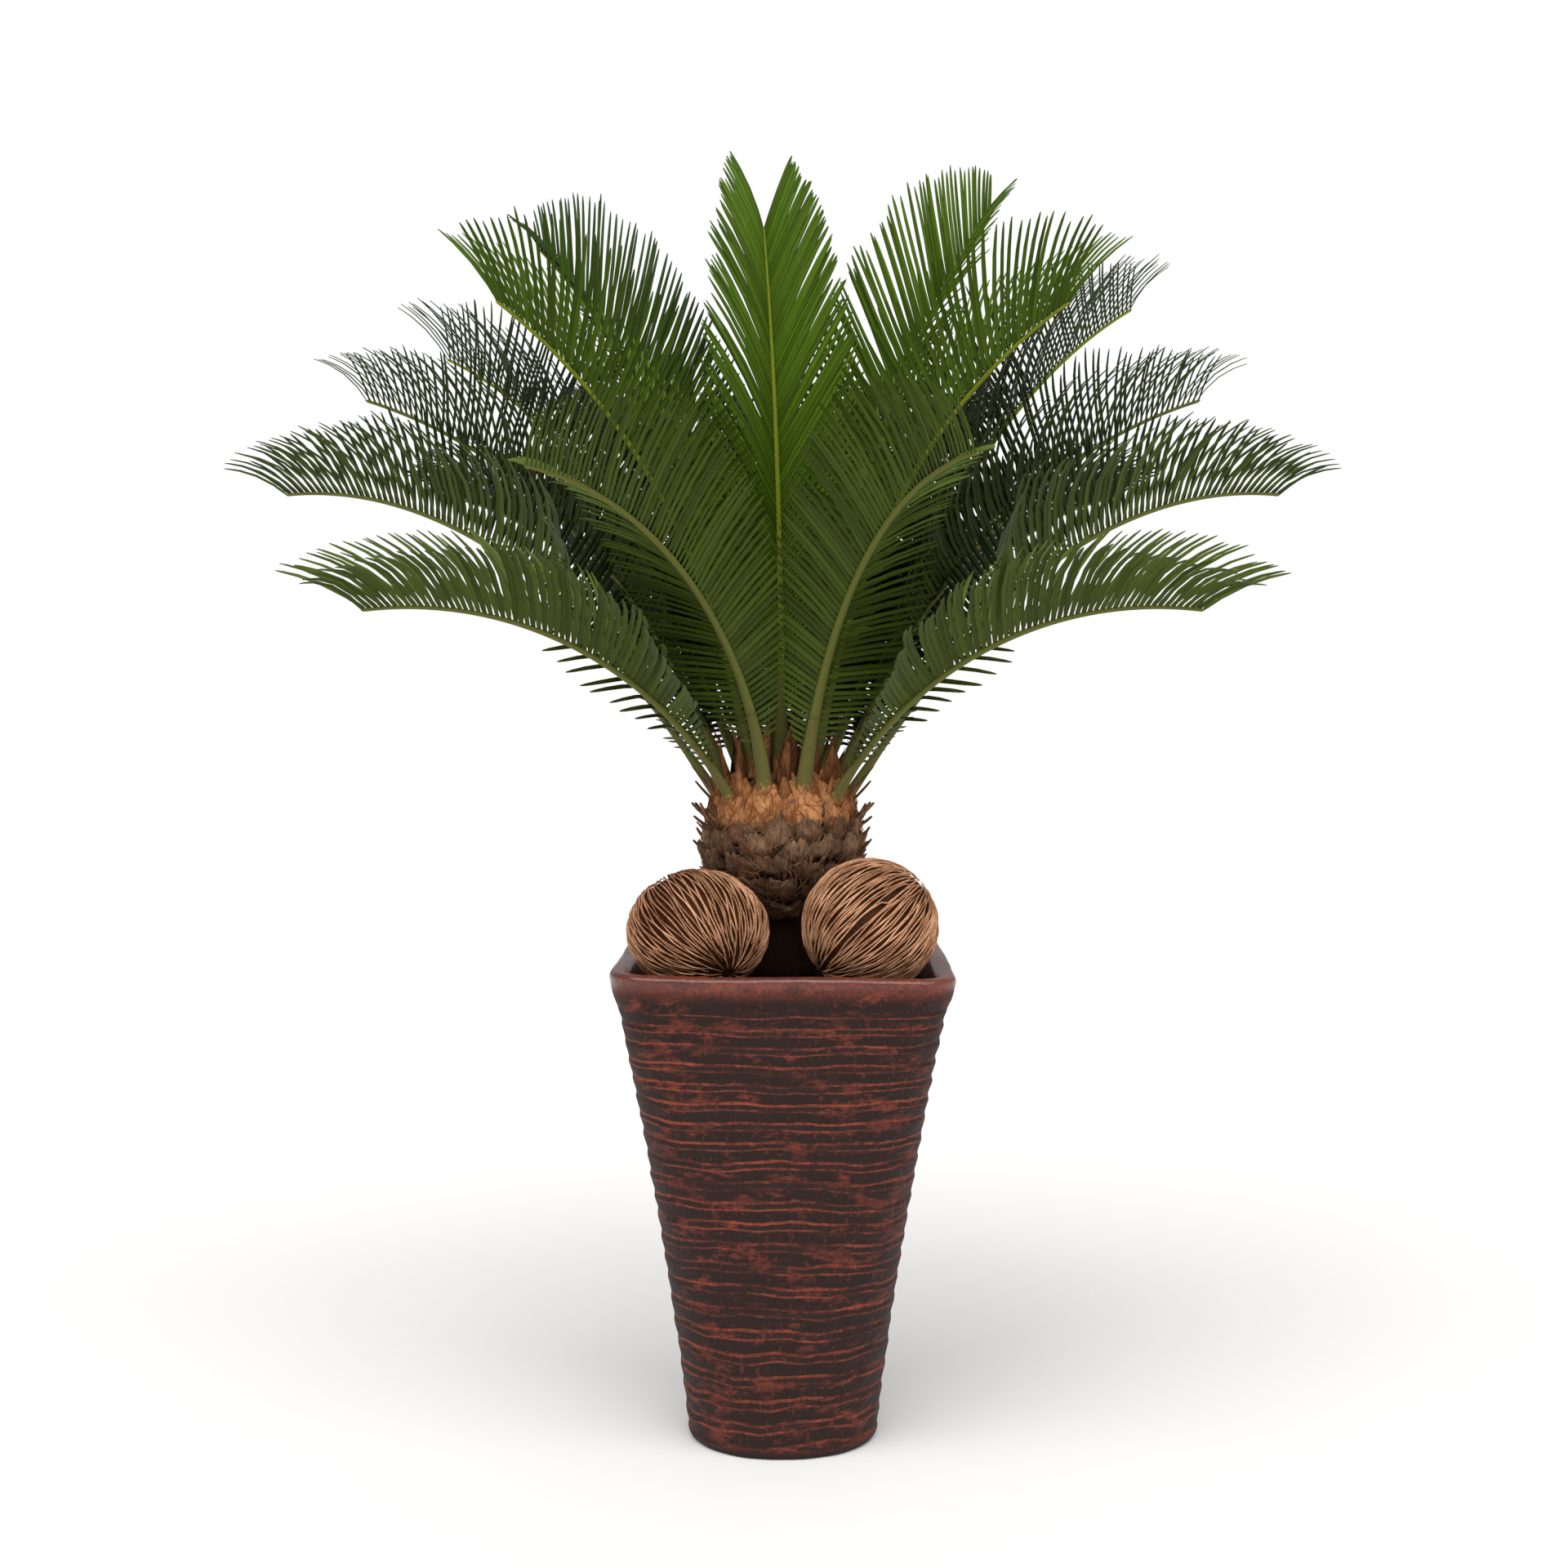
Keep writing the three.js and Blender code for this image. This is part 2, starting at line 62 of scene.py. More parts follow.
def linear(hex_colour):
    """The linear colour of a #rrggbb screen colour."""
    parts = [int(hex_colour[i : i + 2], 16) / 255 for i in (1, 3, 5)]
    return tuple(p / 12.92 if p <= 0.04045 else ((p + 0.055) / 1.055) ** 2.4 for p in parts)


def size(name, description, default):
    """A length in metres."""
    return FloatProperty(
        name=name, description=description, default=default, min=0, unit="LENGTH", precision=4
    )


def plain(name, description, default):
    """A bare number, such as a share or a strength."""
    return FloatProperty(name=name, description=description, default=default)


def angle(name, description, degrees):
    return FloatProperty(
        name=name, description=description, default=math.radians(degrees), subtype="ANGLE"
    )


def count(name, description, default):
    return IntProperty(name=name, description=description, default=default, min=1)


def colour(name, description, hex_colour):
    return FloatVectorProperty(
        name=name, description=description, default=linear(hex_colour), subtype="COLOR", min=0, max=1
    )


class SagoPotSettings(PropertyGroup):
    height: size("Height", "Rim above the underside", 0.326)
    foot_half: size("Foot half width", "Half width of the round foot", 0.064)
    rim_half: size("Rim half width", "Half width of the square rim", 0.110)
    flare: plain("Flare", "1 is a straight cone, more opens towards the rim", 1.16)
    rim_corner: size("Rim corner", "Corner radius at the rim", 0.024)
    side_flat: size("Side flat", "Flat stretch on each side of the foot", 0.003)
    wall: size("Wall", "Thickness of the wall", 0.011)
    floor: size("Floor", "Thickness of the floor", 0.012)
    foot_rounding: size("Foot rounding", "Rounding under the foot", 0.005)
    ridges_start: size("Ridges start", "Height of the lowest ridge", 0.008)
    ridge_pitch_foot: size("Ridge pitch at the foot", "Height of the lowest ridge band", 0.0165)
    ridge_pitch_rim: size("Ridge pitch at the rim", "Height of the highest ridge band", 0.012)
    ridge_depth: size("Ridge depth", "Depth of the grooves", 0.0015)
    ridge_crest: plain("Ridge crest", "Place of the crest between two grooves, from 0 to 1", 0.66)
    lip_drop: size("Lip", "Height of the smooth band under the rim", 0.024)
    lip_bulge: size("Lip bulge", "How far the lip stands proud", 0.0018)
    lip_rounding: size("Lip rounding", "Rounding of the rim's edges", 0.005)
    lip_wave: size("Lip wave", "Unevenness of the hand-made rim", 0.0012)
    columns: count("Columns", "Faces round the pot", 320)
    rows: count("Rows", "Faces up the outer wall", 250)
    dark: colour("Dark glaze", "Colour of the bands", "#281c1a")
    brown: colour("Brown glaze", "Second colour of the bands", "#2f1f1b")
    red: colour("Red clay", "Colour of the lines and the lip", "#6b3229")
    bright_red: colour("Bright red", "Colour of the brightest lines", "#8f4431")


class SagoSoilSettings(PropertyGroup):
    top: size("Top", "Height of the soil", 0.308)
    roughness: size("Roughness", "Unevenness of the soil", 0.002)
    crumbs: count("Crumbs", "Loose crumbs on the soil", 1500)
    crumb: size("Crumb", "Radius of the largest crumbs", 0.0030)
    dark: colour("Dark", "Colour of wet crumbs", "#0b0908")
    brown: colour("Brown", "Colour of dry crumbs", "#241a14")


class SagoBallSettings(PropertyGroup):
    strands: count("Strands", "Strands round the middle of the left ball", 120)
    strand: size("Strand", "Radius of a strand", 0.00070)
    lift: size("Lift", "How far the strands rise and fall", 0.0006)
    core: size("Core", "How deep the dark core lies under the strands", 0.0022)
    seam: angle("Seam", "Width of the open seam", 3.6)
    light: colour("Light fibre", "Colour of the outer strands", "#f7bf97")
    brown: colour("Brown fibre", "Colour of the shaded strands", "#8c5836")
    # groove is painted shade: the colour of the ball's shadowed depths between the strands, which also
    # darkens the duller fibres' streaks.
    groove: colour("Groove", "Colour of the core between the strands", "#241006")


class SagoTrunkSettings(PropertyGroup):
    y: size("Place", "The trunk's axis behind the pot's axis", 0.014)
    dome_radius: size("Dome radius", "Radius of the dome that the fronds grow from", 0.046)
    dome_height: size("Dome height", "Height of that dome", 0.034)
    dome_base: size("Dome base", "Height of the dome's foot", 0.420)
    scale_width: size("Scale width", "Width of a dry leaf base", 0.029)
    scale_height: size("Scale height", "Height of a dry leaf base", 0.019)
    scale_row: size("Scale row", "Rise from one row of leaf bases to the next", 0.0115)
    bract_width: size("Bract width", "Width of a pointed bract", 0.013)
    stubs: count("Stubs", "Broken stubs that stand out of the trunk", 110)
    hairs: count("Hairs", "Loose fibres on the trunk", 1500)
    grey: colour("Grey scale", "Colour of the old leaf bases", "#a8866a")
    # The dark scale and woolly base colours also give the painted shade in the folds, at 0.3 of their
    # strength.
    grey_dark: colour("Dark scale", "Colour in the folds of the old bases", "#553a28")
    tan: colour("Woolly base", "Colour of the young leaf bases", "#e0a06c")
    tan_dark: colour("Woolly base shade", "Colour in the folds of the young bases", "#8d532d")
    bract: colour("Bract", "Colour of the bracts", "#bd8050")
    bract_dark: colour("Bract shade", "Colour of the bracts' streaks", "#5c351d")
    rust: colour("Rust", "Colour of torn fibres", "#a0612f")


class SagoFrondSettings(PropertyGroup):
    spacing: size("Leaflet spacing", "Distance between leaflets along the rib", 0.0042)
    width: size("Leaflet width", "Width of the broadest leaflets", 0.0044)
    keel: plain("Keel", "Rise of a leaflet's middle over its edges, as a share of its width", 0.26)
    thickness: size("Leaflet thickness", "Thickness of a leaflet's middle", 0.0005)
    spine: size("Spine", "Length of the longest spines on the stalk", 0.0045)
    spine_spacing: size("Spine spacing", "Distance between spines", 0.0042)
    wool: size("Wool", "Length of the woolly foot of a stalk", 0.024)
    bright: colour("Bright blade", "Colour of the inner fronds", "#425b0f")
    green: colour("Green blade", "Colour of the middle fronds", "#3c481c")
    olive: colour("Olive blade", "Colour of the lowest fronds", "#455218")
    front: colour("Front blade", "Colour of the front fronds", "#435316")
    # Painted shade: the rear fronds and the far rows take this dark colour because they lie in the crown's
    # shadow.
    deep: colour("Deep blade", "Colour of the rear fronds", "#212c11")
    dusky: colour("Dusky blade", "Colour of the rear inner fronds", "#30431f")
    rib_bright: colour("Bright rib", "Colour of the inner fronds' ribs", "#77801a")
    rib_olive: colour("Olive rib", "Colour of the outer fronds' ribs", "#62672e")
    stalk: colour("Stalk", "Colour of the stalks", "#5f6330")
    stalk_speck: colour("Stalk specks", "Colour of the stalks' specks", "#7d5d3a")


class SagoStageSettings(PropertyGroup):
    floor: colour("Floor", "Colour of the floor", "#f4f3f1")
    sky: plain("Surroundings", "Brightness of the plain surroundings", 0.33)
    key: plain("Key", "Strength of the main soft light", 1.9)
    fill: plain("Fill", "Strength of the second soft light", 1.3)
    top: plain("Top", "Strength of the light above", 0.4)


# ---- shader maths ----


class Value:
    """One output socket of a material, which adds Math nodes when it is calculated with."""

    def __init__(self, shader, socket):
        self.shader = shader
        self.socket = socket

    def maths(self, operation, *inputs):
        return self.shader.node("ShaderNodeMath", {"operation": operation}, dict(enumerate(inputs)))

    def __add__(self, other):
        return self.maths("ADD", self, other)

    def __sub__(self, other):
        return self.maths("SUBTRACT", self, other)

    def __rsub__(self, other):
        return self.maths("SUBTRACT", other, self)

    def __mul__(self, other):
        return self.maths("MULTIPLY", self, other)

    __radd__ = __add__
    __rmul__ = __mul__

    def fraction(self):
        return self.maths("FRACT", self)

    def distance(self, other):
        return self.maths("ABSOLUTE", self - other)

    def larger(self, other):
        return self.maths("MAXIMUM", self, other)

    def step(self, low, high):
        """0 below low and 1 above high, with a soft change between. It falls where low is higher."""
        rises = low < high
        ends = {1: min(low, high), 2: max(low, high), 3: 0 if rises else 1, 4: 1 if rises else 0}
        settings = {"interpolation_type": "SMOOTHSTEP"}
        return self.shader.node("ShaderNodeMapRange", settings, {0: self} | ends)


class Shader:
    """A new node material round one Principled surface."""

    def __init__(self, name):
        self.material = bpy.data.materials.new(name)
        self.material.use_nodes = True
        self.tree = self.material.node_tree
        self.tree.nodes.clear()
        self.surface = self.tree.nodes.new("ShaderNodeBsdfPrincipled")
        output = self.tree.nodes.new("ShaderNodeOutputMaterial")
        self.tree.links.new(self.surface.outputs[0], output.inputs[0])

    def plug(self, socket, given):
        if isinstance(given, Value):
            self.tree.links.new(given.socket, socket)
        elif isinstance(given, (tuple, list)) and len(socket.default_value) == 4 and len(given) == 3:
            socket.default_value = (*given, 1)
        else:
            socket.default_value = given

    def node(self, kind, settings=None, inputs=None, output=0):
        """Adds a node, sets its settings and then its inputs, and returns one output."""
        made = self.tree.nodes.new(kind)
        for name, setting in (settings or {}).items():
            setattr(made, name, setting)
        for name, given in (inputs or {}).items():
            self.plug(made.inputs[name], given)
        return Value(self, made.outputs[output])

    def place(self, stretch=(1, 1, 1)):
        """Object coordinates, in metres, stretched along the axes."""
        at = self.node("ShaderNodeTexCoord", output="Object")
        return self.node("ShaderNodeMapping", {}, {"Vector": at, "Scale": stretch})

    def height(self):
        at = self.node("ShaderNodeTexCoord", output="Object")
        return self.node("ShaderNodeSeparateXYZ", {}, {0: at}, output="Z")

    def attribute(self, name):
        return self.node("ShaderNodeAttribute", {"attribute_name": name}, output="Fac")

    def noise(self, scale, stretch=(1, 1, 1), detail=3, roughness=0.55):
        """Smooth noise around 0.5, with features of about 1 / scale metres."""
        inputs = {"Vector": self.place(stretch), "Scale": scale, "Detail": detail, "Roughness": roughness}
        return self.node("ShaderNodeTexNoise", {}, inputs, output="Fac")

    def mix(self, factor, low, high):
        """A colour between low and high."""
        settings = {"data_type": "RGBA", "clamp_factor": True}
        return self.node("ShaderNodeMix", settings, {0: factor, 6: low, 7: high}, output=2)

    def bump(self, height, depth):
        """A normal from a height between 0 and 1 that stands for depth metres."""
        return self.node("ShaderNodeBump", {}, {"Height": height, "Distance": depth, "Strength": 1.0})

    def finish(self, **inputs):
        """Sets the surface's sockets, each named in small letters with underscores."""
        for name, given in inputs.items():
            socket = name.replace("_", " ").title().replace("Ior", "IOR")
            self.plug(self.surface.inputs[socket], given)
        return self.material


# ---- mesh helpers ----


def finished(name, mesh, materials, nodes=()):
    """Makes a piece of the plant from its mesh, attaches it to the body and hides the CAD parts that it
    stands for.
    """
    piece = bpy.data.objects.new(name, mesh)
    bpy.context.scene.collection.objects.link(piece)
    for material in materials:
        mesh.materials.append(material)
    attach(piece, BODY)
    if nodes:
        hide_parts(*nodes)


def spun_mesh(name, profile, columns):
    """A closed mesh turned round Z from a profile of (radius, height) that starts and ends on the axis."""
    form = bmesh.new()
    line = [form.verts.new((radius, 0, height)) for radius, height in profile]
    edges = [form.edges.new(pair) for pair in zip(line, line[1:])]
    centre, up = (0, 0, 0), (0, 0, 1)
    bmesh.ops.spin(
        form, geom=line + edges, cent=centre, axis=up, angle=2 * math.pi, steps=columns, use_merge=True
    )
    bmesh.ops.remove_doubles(form, verts=form.verts, dist=SAME_POINT)
    bmesh.ops.recalc_face_normals(form, faces=form.faces)
    for face in form.faces:
        face.smooth = True
    mesh = bpy.data.meshes.new(name)
    form.to_mesh(mesh)
    form.free()
    return mesh


def sphere_shape(subdivisions):
    """Points and faces of a ball of radius 1."""
    form = bmesh.new()
    bmesh.ops.create_icosphere(form, subdivisions=subdivisions, radius=1)
    points = np.array([vertex.co for vertex in form.verts])
    faces = [tuple(vertex.index for vertex in face.verts) for face in form.faces]
    form.free()
    return points, faces


def mesh_points(mesh):
    points = np.empty(len(mesh.vertices) * 3, np.float32)
    mesh.vertices.foreach_get("co", points)
    return points.reshape(-1, 3).astype(float)


def set_points(mesh, points):
    mesh.vertices.foreach_set("co", points.astype(np.float32).ravel())
    mesh.update()


def set_attribute(mesh, name, values):
    layer = mesh.attributes.new(name, "FLOAT", "POINT")
    layer.data.foreach_set("value", values.astype(np.float32))


def rough(points, scale, seed):
    """Smooth noise between about -1 and 1 at each point, with features of about 1 / scale."""
    shift = Vector((seed, seed * 1.7, -seed))
    return np.array([noise.noise(Vector(p) * scale + shift) for p in points])


def unit(vectors):
    return vectors / np.linalg.norm(vectors, axis=-1, keepdims=True)


def soft_step(values, low, high):
    """0 below low and 1 above high, with a soft change between."""
    t = np.clip((values - low) / (high - low), 0, 1)
    return t * t * (3 - 2 * t)


class Bundle:
    """Many small closed shapes gathered into one mesh."""

    def __init__(self):
        self.points = []
        self.faces = []
        self.finishes = []
        self.tones = []
        self.total = 0

    def add(self, points, faces, finish, tone=1.0):
        """One shape: its points, its faces, the number of its material, and its tone or one for each
        point."""
        self.points.append(points)
        self.tones.append(np.broadcast_to(tone, len(points)))
        self.faces.extend([tuple(i + self.total for i in face) for face in faces])
        self.finishes.extend([finish] * len(faces))
        self.total += len(points)

    def add_spikes(self, rings, tips, finishes, tone=1.0):
        """Tubes with a closed root that end in a point. rings is (shapes, stations, sides, 3), and each
        ring runs counter-clockwise as seen from the tip."""
        shapes, stations, sides, _ = rings.shape
        faces = spike_faces(stations, sides)
        for ring, tip, finish in zip(rings.reshape(shapes, -1, 3), tips, finishes):
            self.add(np.vstack([ring, tip]), faces, finish, tone)

    def add_spike(self, rings, tip, finish, tone=1.0):
        """One such tube."""
        self.add_spikes(rings[None], tip[None], [finish], tone)

    def mesh(self, name, smooth):
        """The gathered mesh. It has its tones as an attribute where any of them isn't 1."""
        mesh = bpy.data.meshes.new(name)
        mesh.from_pydata(np.vstack(self.points).tolist(), [], self.faces)
        mesh.polygons.foreach_set("material_index", np.array(self.finishes, np.int32))
        mesh.polygons.foreach_set("use_smooth", np.full(len(self.faces), smooth))
        mesh.update()
        if not all(np.all(tone == 1) for tone in self.tones):
            set_attribute(mesh, "tone", np.concatenate(self.tones))
        return mesh


def spike_faces(stations, sides):
    """Faces of a tube of rings, closed at its first ring and pointed past its last."""
    faces = []
    for ring in range(stations - 1):
        for i in range(sides):
            a = ring * sides + i
            b = ring * sides + (i + 1) % sides
            faces.append((a, b, b + sides, a + sides))
    faces.append(tuple(reversed(range(sides))))
    last = (stations - 1) * sides
    faces.extend((last + i, last + (i + 1) % sides, last + sides) for i in range(sides))
    return faces


def tube_rings(path, radii, sides, flat=1.0, across=None):
    """Rings round a path of points. radii has one radius a point. across is the direction of the
    rings' first axis, or has one direction a point. flat squeezes the rings along their second axis."""
    ahead = unit(np.gradient(path, axis=0))
    if across is None:
        steep = abs(ahead[0][2]) >= 0.9
        across = np.array([1.0, 0.0, 0.0]) if steep else np.array([0.0, 0.0, 1.0])
    side = unit(across - ahead * (ahead @ across)[:, None] if np.ndim(across) == 1 else across)
    rise = np.cross(ahead, side)
    turn = 2 * np.pi * np.arange(sides) / sides
    along_side = side[:, None] * np.cos(turn)[None, :, None]
    along_rise = flat * rise[:, None] * np.sin(turn)[None, :, None]
    return path[:, None] + radii[:, None, None] * (along_side + along_rise)


# ---- pot ----

# How far the section lies inside the foot, over the foot's rounding, and the height there.
FOOT_CURVE = ((1, 0), (0.6, 0.0004), (0.3, 0.0015))
FOOT_INSET = 0.0004  # how far the wall lies in under the lowest ridge
# The lip's bulge, over its whole bulge, and the place there, over the lip's height.
LIP_CURVE = ((0.3, 0.12), (0.75, 0.28), (1, 0.45), (1, 0.65))
RIM_STEPS = range(0, 91, 15)  # turns in degrees of the points on the rim's rounded edges
INNER_ROWS = 14
INNER_DROP = 0.004  # from the middle of the rim's rounding to the highest row of the inner wall
FLOOR_RINGS = (0, 0.5, 0.9)  # over the floor's radius
RIDGES_SET_IN = (0.004, 0.009)  # heights between which they reach their whole depth
RIDGES_END = 0.018  # how far under the rim they have died out
CORNER_PULL = 0.1  # how far the columns close up at the corners, in radians
# The slow wander of the hand-drawn ridges: size in ridges, waves round the pot, waves a
# metre of height and start, both in radians.
WANDERS = ((0.09, 2, 14, 0.4), (0.06, 3, -31, 2.1), (0.05, 7, 47, 0), (0.03, 13, -90, 1.0))
CLAY_LUMPS = ((0.0006, 60, 5), (0.00022, 420, 9))  # height, scale and seed


def pot_share(pot, z):
    """How far up the pot a height lies, as the flare bends it: 0 at the foot and 1 at the rim."""
    return np.clip(z / pot.height, 0, 1) ** pot.flare


def pot_half(pot, z):
    """Half of the pot's width at height z."""
    return pot.foot_half + (pot.rim_half - pot.foot_half) * pot_share(pot, z)


def pot_reach(pot, z, turn, grow):
    """Distance from the axis to the pot's outline at height z in direction turn, pushed out by grow."""
    half = pot_half(pot, z)
    foot_corner = half - pot.side_flat
    corner = foot_corner + (pot.rim_corner - foot_corner) * pot_share(pot, z)
    centre = half - corner
    corner = corner + grow
    octant = np.abs((turn + np.pi / 4) % (np.pi / 2) - np.pi / 4)
    along = centre * (np.cos(octant) + np.sin(octant))
    inside = np.maximum(along**2 - 2 * centre**2 + corner**2, 0)
    flat = (centre + corner) / np.cos(octant)
    return np.where(flat * np.sin(octant) <= centre, flat, along + np.sqrt(inside))


def ridge_phase(pot, z):
    """How many ridges lie between the lowest one and height z, with bands that get lower upwards."""
    top = pot.height - pot.lip_drop
    slope = (pot.ridge_pitch_foot - pot.ridge_pitch_rim) / (top - pot.ridges_start)
    rise = np.clip(z, pot.ridges_start, top) - pot.ridges_start
    return -np.log(1 - slope * rise / pot.ridge_pitch_foot) / slope


def pot_profile(pot):
    """The pot's section from the middle of its underside to the middle of its floor, with the wall's
    true radius at each height."""
    lip_foot = pot.height - pot.lip_drop
    grows = [(-inward * pot.foot_rounding, z) for inward, z in FOOT_CURVE]
    heights = np.linspace(pot.ridges_start / 2, lip_foot, pot.rows)
    grows += [(-FOOT_INSET if z < pot.ridges_start * 0.6 else 0, z) for z in heights]
    bulge, rounding = pot.lip_bulge, pot.lip_rounding
    grows += [(bulge * out, lip_foot + pot.lip_drop * up) for out, up in LIP_CURVE]
    middle = pot.height - rounding
    for turn in np.radians(RIM_STEPS):
        grows.append((bulge - rounding + rounding * math.cos(turn), middle + rounding * math.sin(turn)))
    for turn in np.radians(RIM_STEPS[::-1]):
        grows.append((rounding - pot.wall - rounding * math.cos(turn), middle + rounding * math.sin(turn)))
    grows += [(-pot.wall, z) for z in np.linspace(middle - INNER_DROP, pot.floor, INNER_ROWS)]
    wall = [(float(pot_half(pot, z)) + grow, z) for grow, z in grows]
    under = [(part * wall[0][0], 0) for part in FLOOR_RINGS]
    inside = [(part * wall[-1][0], pot.floor) for part in reversed(FLOOR_RINGS)]
    return under + wall + inside


def squared(pot, points):
    """Turns a round mesh into the pot's square outline, and closes its columns up at the corners."""
    x, y, z = points.T
    radius = np.hypot(x, y)
    turn = np.arctan2(y, x)
    turn = turn + CORNER_PULL * np.sin(4 * turn)
    half = pot_half(pot, z)
    grow = np.maximum(radius - half, -pot.wall - CLEARANCE)
    inner = np.minimum(radius / (half + grow), 1)
    reach = pot_reach(pot, z, turn, grow) * inner
    return np.stack([reach * np.cos(turn), reach * np.sin(turn), z], axis=1), turn


def ridge_wander(turn, z):
    """How far the ridges wander at each turn round the pot and height, in ridges."""
    return sum(
        ridges * np.sin(waves * turn + slant * z + start) for ridges, waves, slant, start in WANDERS
    )


def pot_mesh(pot):
    """The pot's wall, with its ridges, the clay's unevenness and the wavy rim. The attribute ridges
    counts the ridges upwards, and outer is 1 on the outside."""
    mesh = spun_mesh("pot", pot_profile(pot), pot.columns)
    points, turn = squared(pot, mesh_points(mesh))
    z = points[:, 2].copy()
    outward = np.stack([np.cos(turn), np.sin(turn), np.zeros(len(z))], axis=1)
    outside = np.hypot(points[:, 0], points[:, 1]) > pot_reach(pot, z, turn, -pot.wall / 2)
    smooth_lip = soft_step(z, pot.height - pot.lip_drop, pot.height - RIDGES_END)
    ridged = soft_step(z, *RIDGES_SET_IN) * (1 - smooth_lip)
    phase = ridge_phase(pot, z) + ridge_wander(turn, z) * ridged
    part = phase % 1.0
    crest = pot.ridge_crest
    climb = np.where(part < crest, part / crest, (1 - part) / (1 - crest))
    groove = (1 - soft_step(climb, 0, 1) * 0.4 - climb * 0.6) * (0.75 + 0.35 * rough(points, 22, 3))
    uneven = sum(height * rough(points, scale, seed) for height, scale, seed in CLAY_LUMPS)
    push = np.where(outside, uneven - pot.ridge_depth * groove * ridged, 0)
    points += outward * push[:, None]
    rim = pot.lip_wave * soft_step(z, pot.height - 2 * pot.lip_drop, pot.height)
    points[:, 2] += rim * (np.sin(2 * turn + 0.6) + 0.6 * np.sin(5 * turn + 2) - 1)
    set_points(mesh, points)
    set_attribute(mesh, "ridges", phase)
    set_attribute(mesh, "outer", outside.astype(float))
    return mesh


def glazed_clay(pot):
    """Dark glaze over red clay, rubbed through along the ridges, in specks and on the lip."""
    shader = Shader("glazed_clay")
    height = shader.height()
    wander = shader.noise(70, (1, 1, 2), detail=3)
    phase = shader.attribute("ridges") + (wander - 0.5) * 0.22
    part = phase.fraction()
    wear = shader.noise(16, (1, 1, 7), detail=4, roughness=0.65)
    broken = shader.noise(160, (1, 1, 2.5), detail=3, roughness=0.7)
    fill = (wear * 0.65 + broken * 0.5).step(0.46, 0.66)
    groove_line = part.distance(0.5).step(0.405, 0.46)
    crest_line = part.distance(pot.ridge_crest).step(0.075, 0.02)
    line = groove_line.larger(crest_line * 0.85) * (fill * 0.88 + 0.12)
    blotch = shader.noise(34, (1, 1, 2.4), detail=6, roughness=0.72).step(0.52, 0.64)
    streak = shader.noise(210, (1, 1, 0.3), detail=3, roughness=0.7).step(0.58, 0.68)
    speck = shader.noise(720, detail=2, roughness=0.6).step(0.6, 0.7)
    grain = shader.noise(330, detail=5, roughness=0.75)
    under = height.step(pot.height - 0.026, pot.height - 0.017)
    patch = shader.noise(55, (1, 1, 2), detail=6, roughness=0.7).step(0.5, 0.62)
    gloss = height.step(pot.height - 0.014, pot.height - 0.004)
    lip = height.step(pot.height - 0.020, pot.height - 0.007) * (1 - patch * 0.5)
    rubbed = line.larger(blotch * (under * 0.25 + 0.62)).larger(streak * 0.4).larger(speck * 0.35)
    red = (rubbed * height.step(0.002, 0.012)).larger(lip * 0.82)
    red = red * (grain * 1.1 + 0.42) * shader.attribute("outer").larger(under)
    glaze = shader.mix(grain.step(0.35, 0.7), tuple(pot.dark), tuple(pot.brown))
    clay = shader.mix((wear * grain * 2.4).step(0.42, 0.85), tuple(pot.red), tuple(pot.bright_red))
    relief = grain * 0.5 + broken * 0.3 + speck * 0.2
    return shader.finish(
        base_color=shader.mix(red, glaze, clay),
        roughness=0.62 - gloss * 0.26 + (grain - 0.5) * 0.35,
        specular_ior_level=0.16,
        coat_weight=gloss * 0.75 + 0.02,
        coat_roughness=0.2,
        normal=shader.bump(relief, 0.0012),
    )


class SAGO_OT_pot(Operator):
    """Builds the ridged pot"""

    bl_idname = "sago.pot"
    bl_label = "Pot"

    def execute(self, context):
        pot = context.scene.sago_pot
        finished("pot_shell", pot_mesh(pot), [glazed_clay(pot)], ["pot"])
        return {"FINISHED"}


# ---- soil ----

SOIL_DEPTH = 0.02  # the part of the soil that is modelled
SOIL_COLUMNS = 160
SOIL_RINGS = 40


def soil_mesh(pot, soil):
    """The top of the soil as a disc that fills the pot, uneven above."""
    low = soil.top - SOIL_DEPTH
    foot, edge = (float(pot_half(pot, z)) - pot.wall - CLEARANCE for z in (low, soil.top))
    top = [(edge * part, soil.top) for part in np.linspace(0.97, 0, SOIL_RINGS)]
    mesh = spun_mesh("soil", [(0, low), (foot, low), (edge, soil.top)] + top, SOIL_COLUMNS)
    points, _ = squared(pot, mesh_points(mesh))
    lumps = rough(points, 90, 2) + 0.6 * rough(points, 260, 4)
    loose = (points[:, 2] > soil.top - 0.001) * soil.roughness
    points[:, 2] += loose * (lumps - 1)
    set_points(mesh, points)
    return mesh


def add_crumbs(bundle, pot, soil):
    """Crumbs of many sizes over the whole soil, mostly small."""
    draw = np.random.default_rng(11)
    points, faces = sphere_shape(1)
    inset = pot.wall + soil.crumb
    reach = float(pot_half(pot, soil.top)) - inset
    for _ in range(soil.crumbs):
        x, y = draw.uniform(-reach, reach, 2)
        if np.hypot(x, y) > pot_reach(pot, soil.top, math.atan2(y, x), -inset):
            continue
        radius = soil.crumb * draw.uniform(0.25, 1) ** 1.6
        lump = points * draw.uniform(0.6, 1.15, (len(points), 1)) * draw.uniform(0.7, 1.2, 3) * radius
        bundle.add(lump + (x, y, soil.top - 0.0015 + radius * 0.2), faces, int(draw.integers(0, 2)))


def crumbly_earth(name, soil, amount):
    """Damp earth whose grain turns brown by the amount given."""
    shader = Shader(name)
    grain = shader.noise(520, detail=4, roughness=0.7)
    shade = shader.mix(grain.step(0.3, 0.75) * amount, tuple(soil.dark), tuple(soil.brown))
    return shader.finish(
        base_color=shade, roughness=0.95, specular_ior_level=0.15, normal=shader.bump(grain, 0.0015)
    )


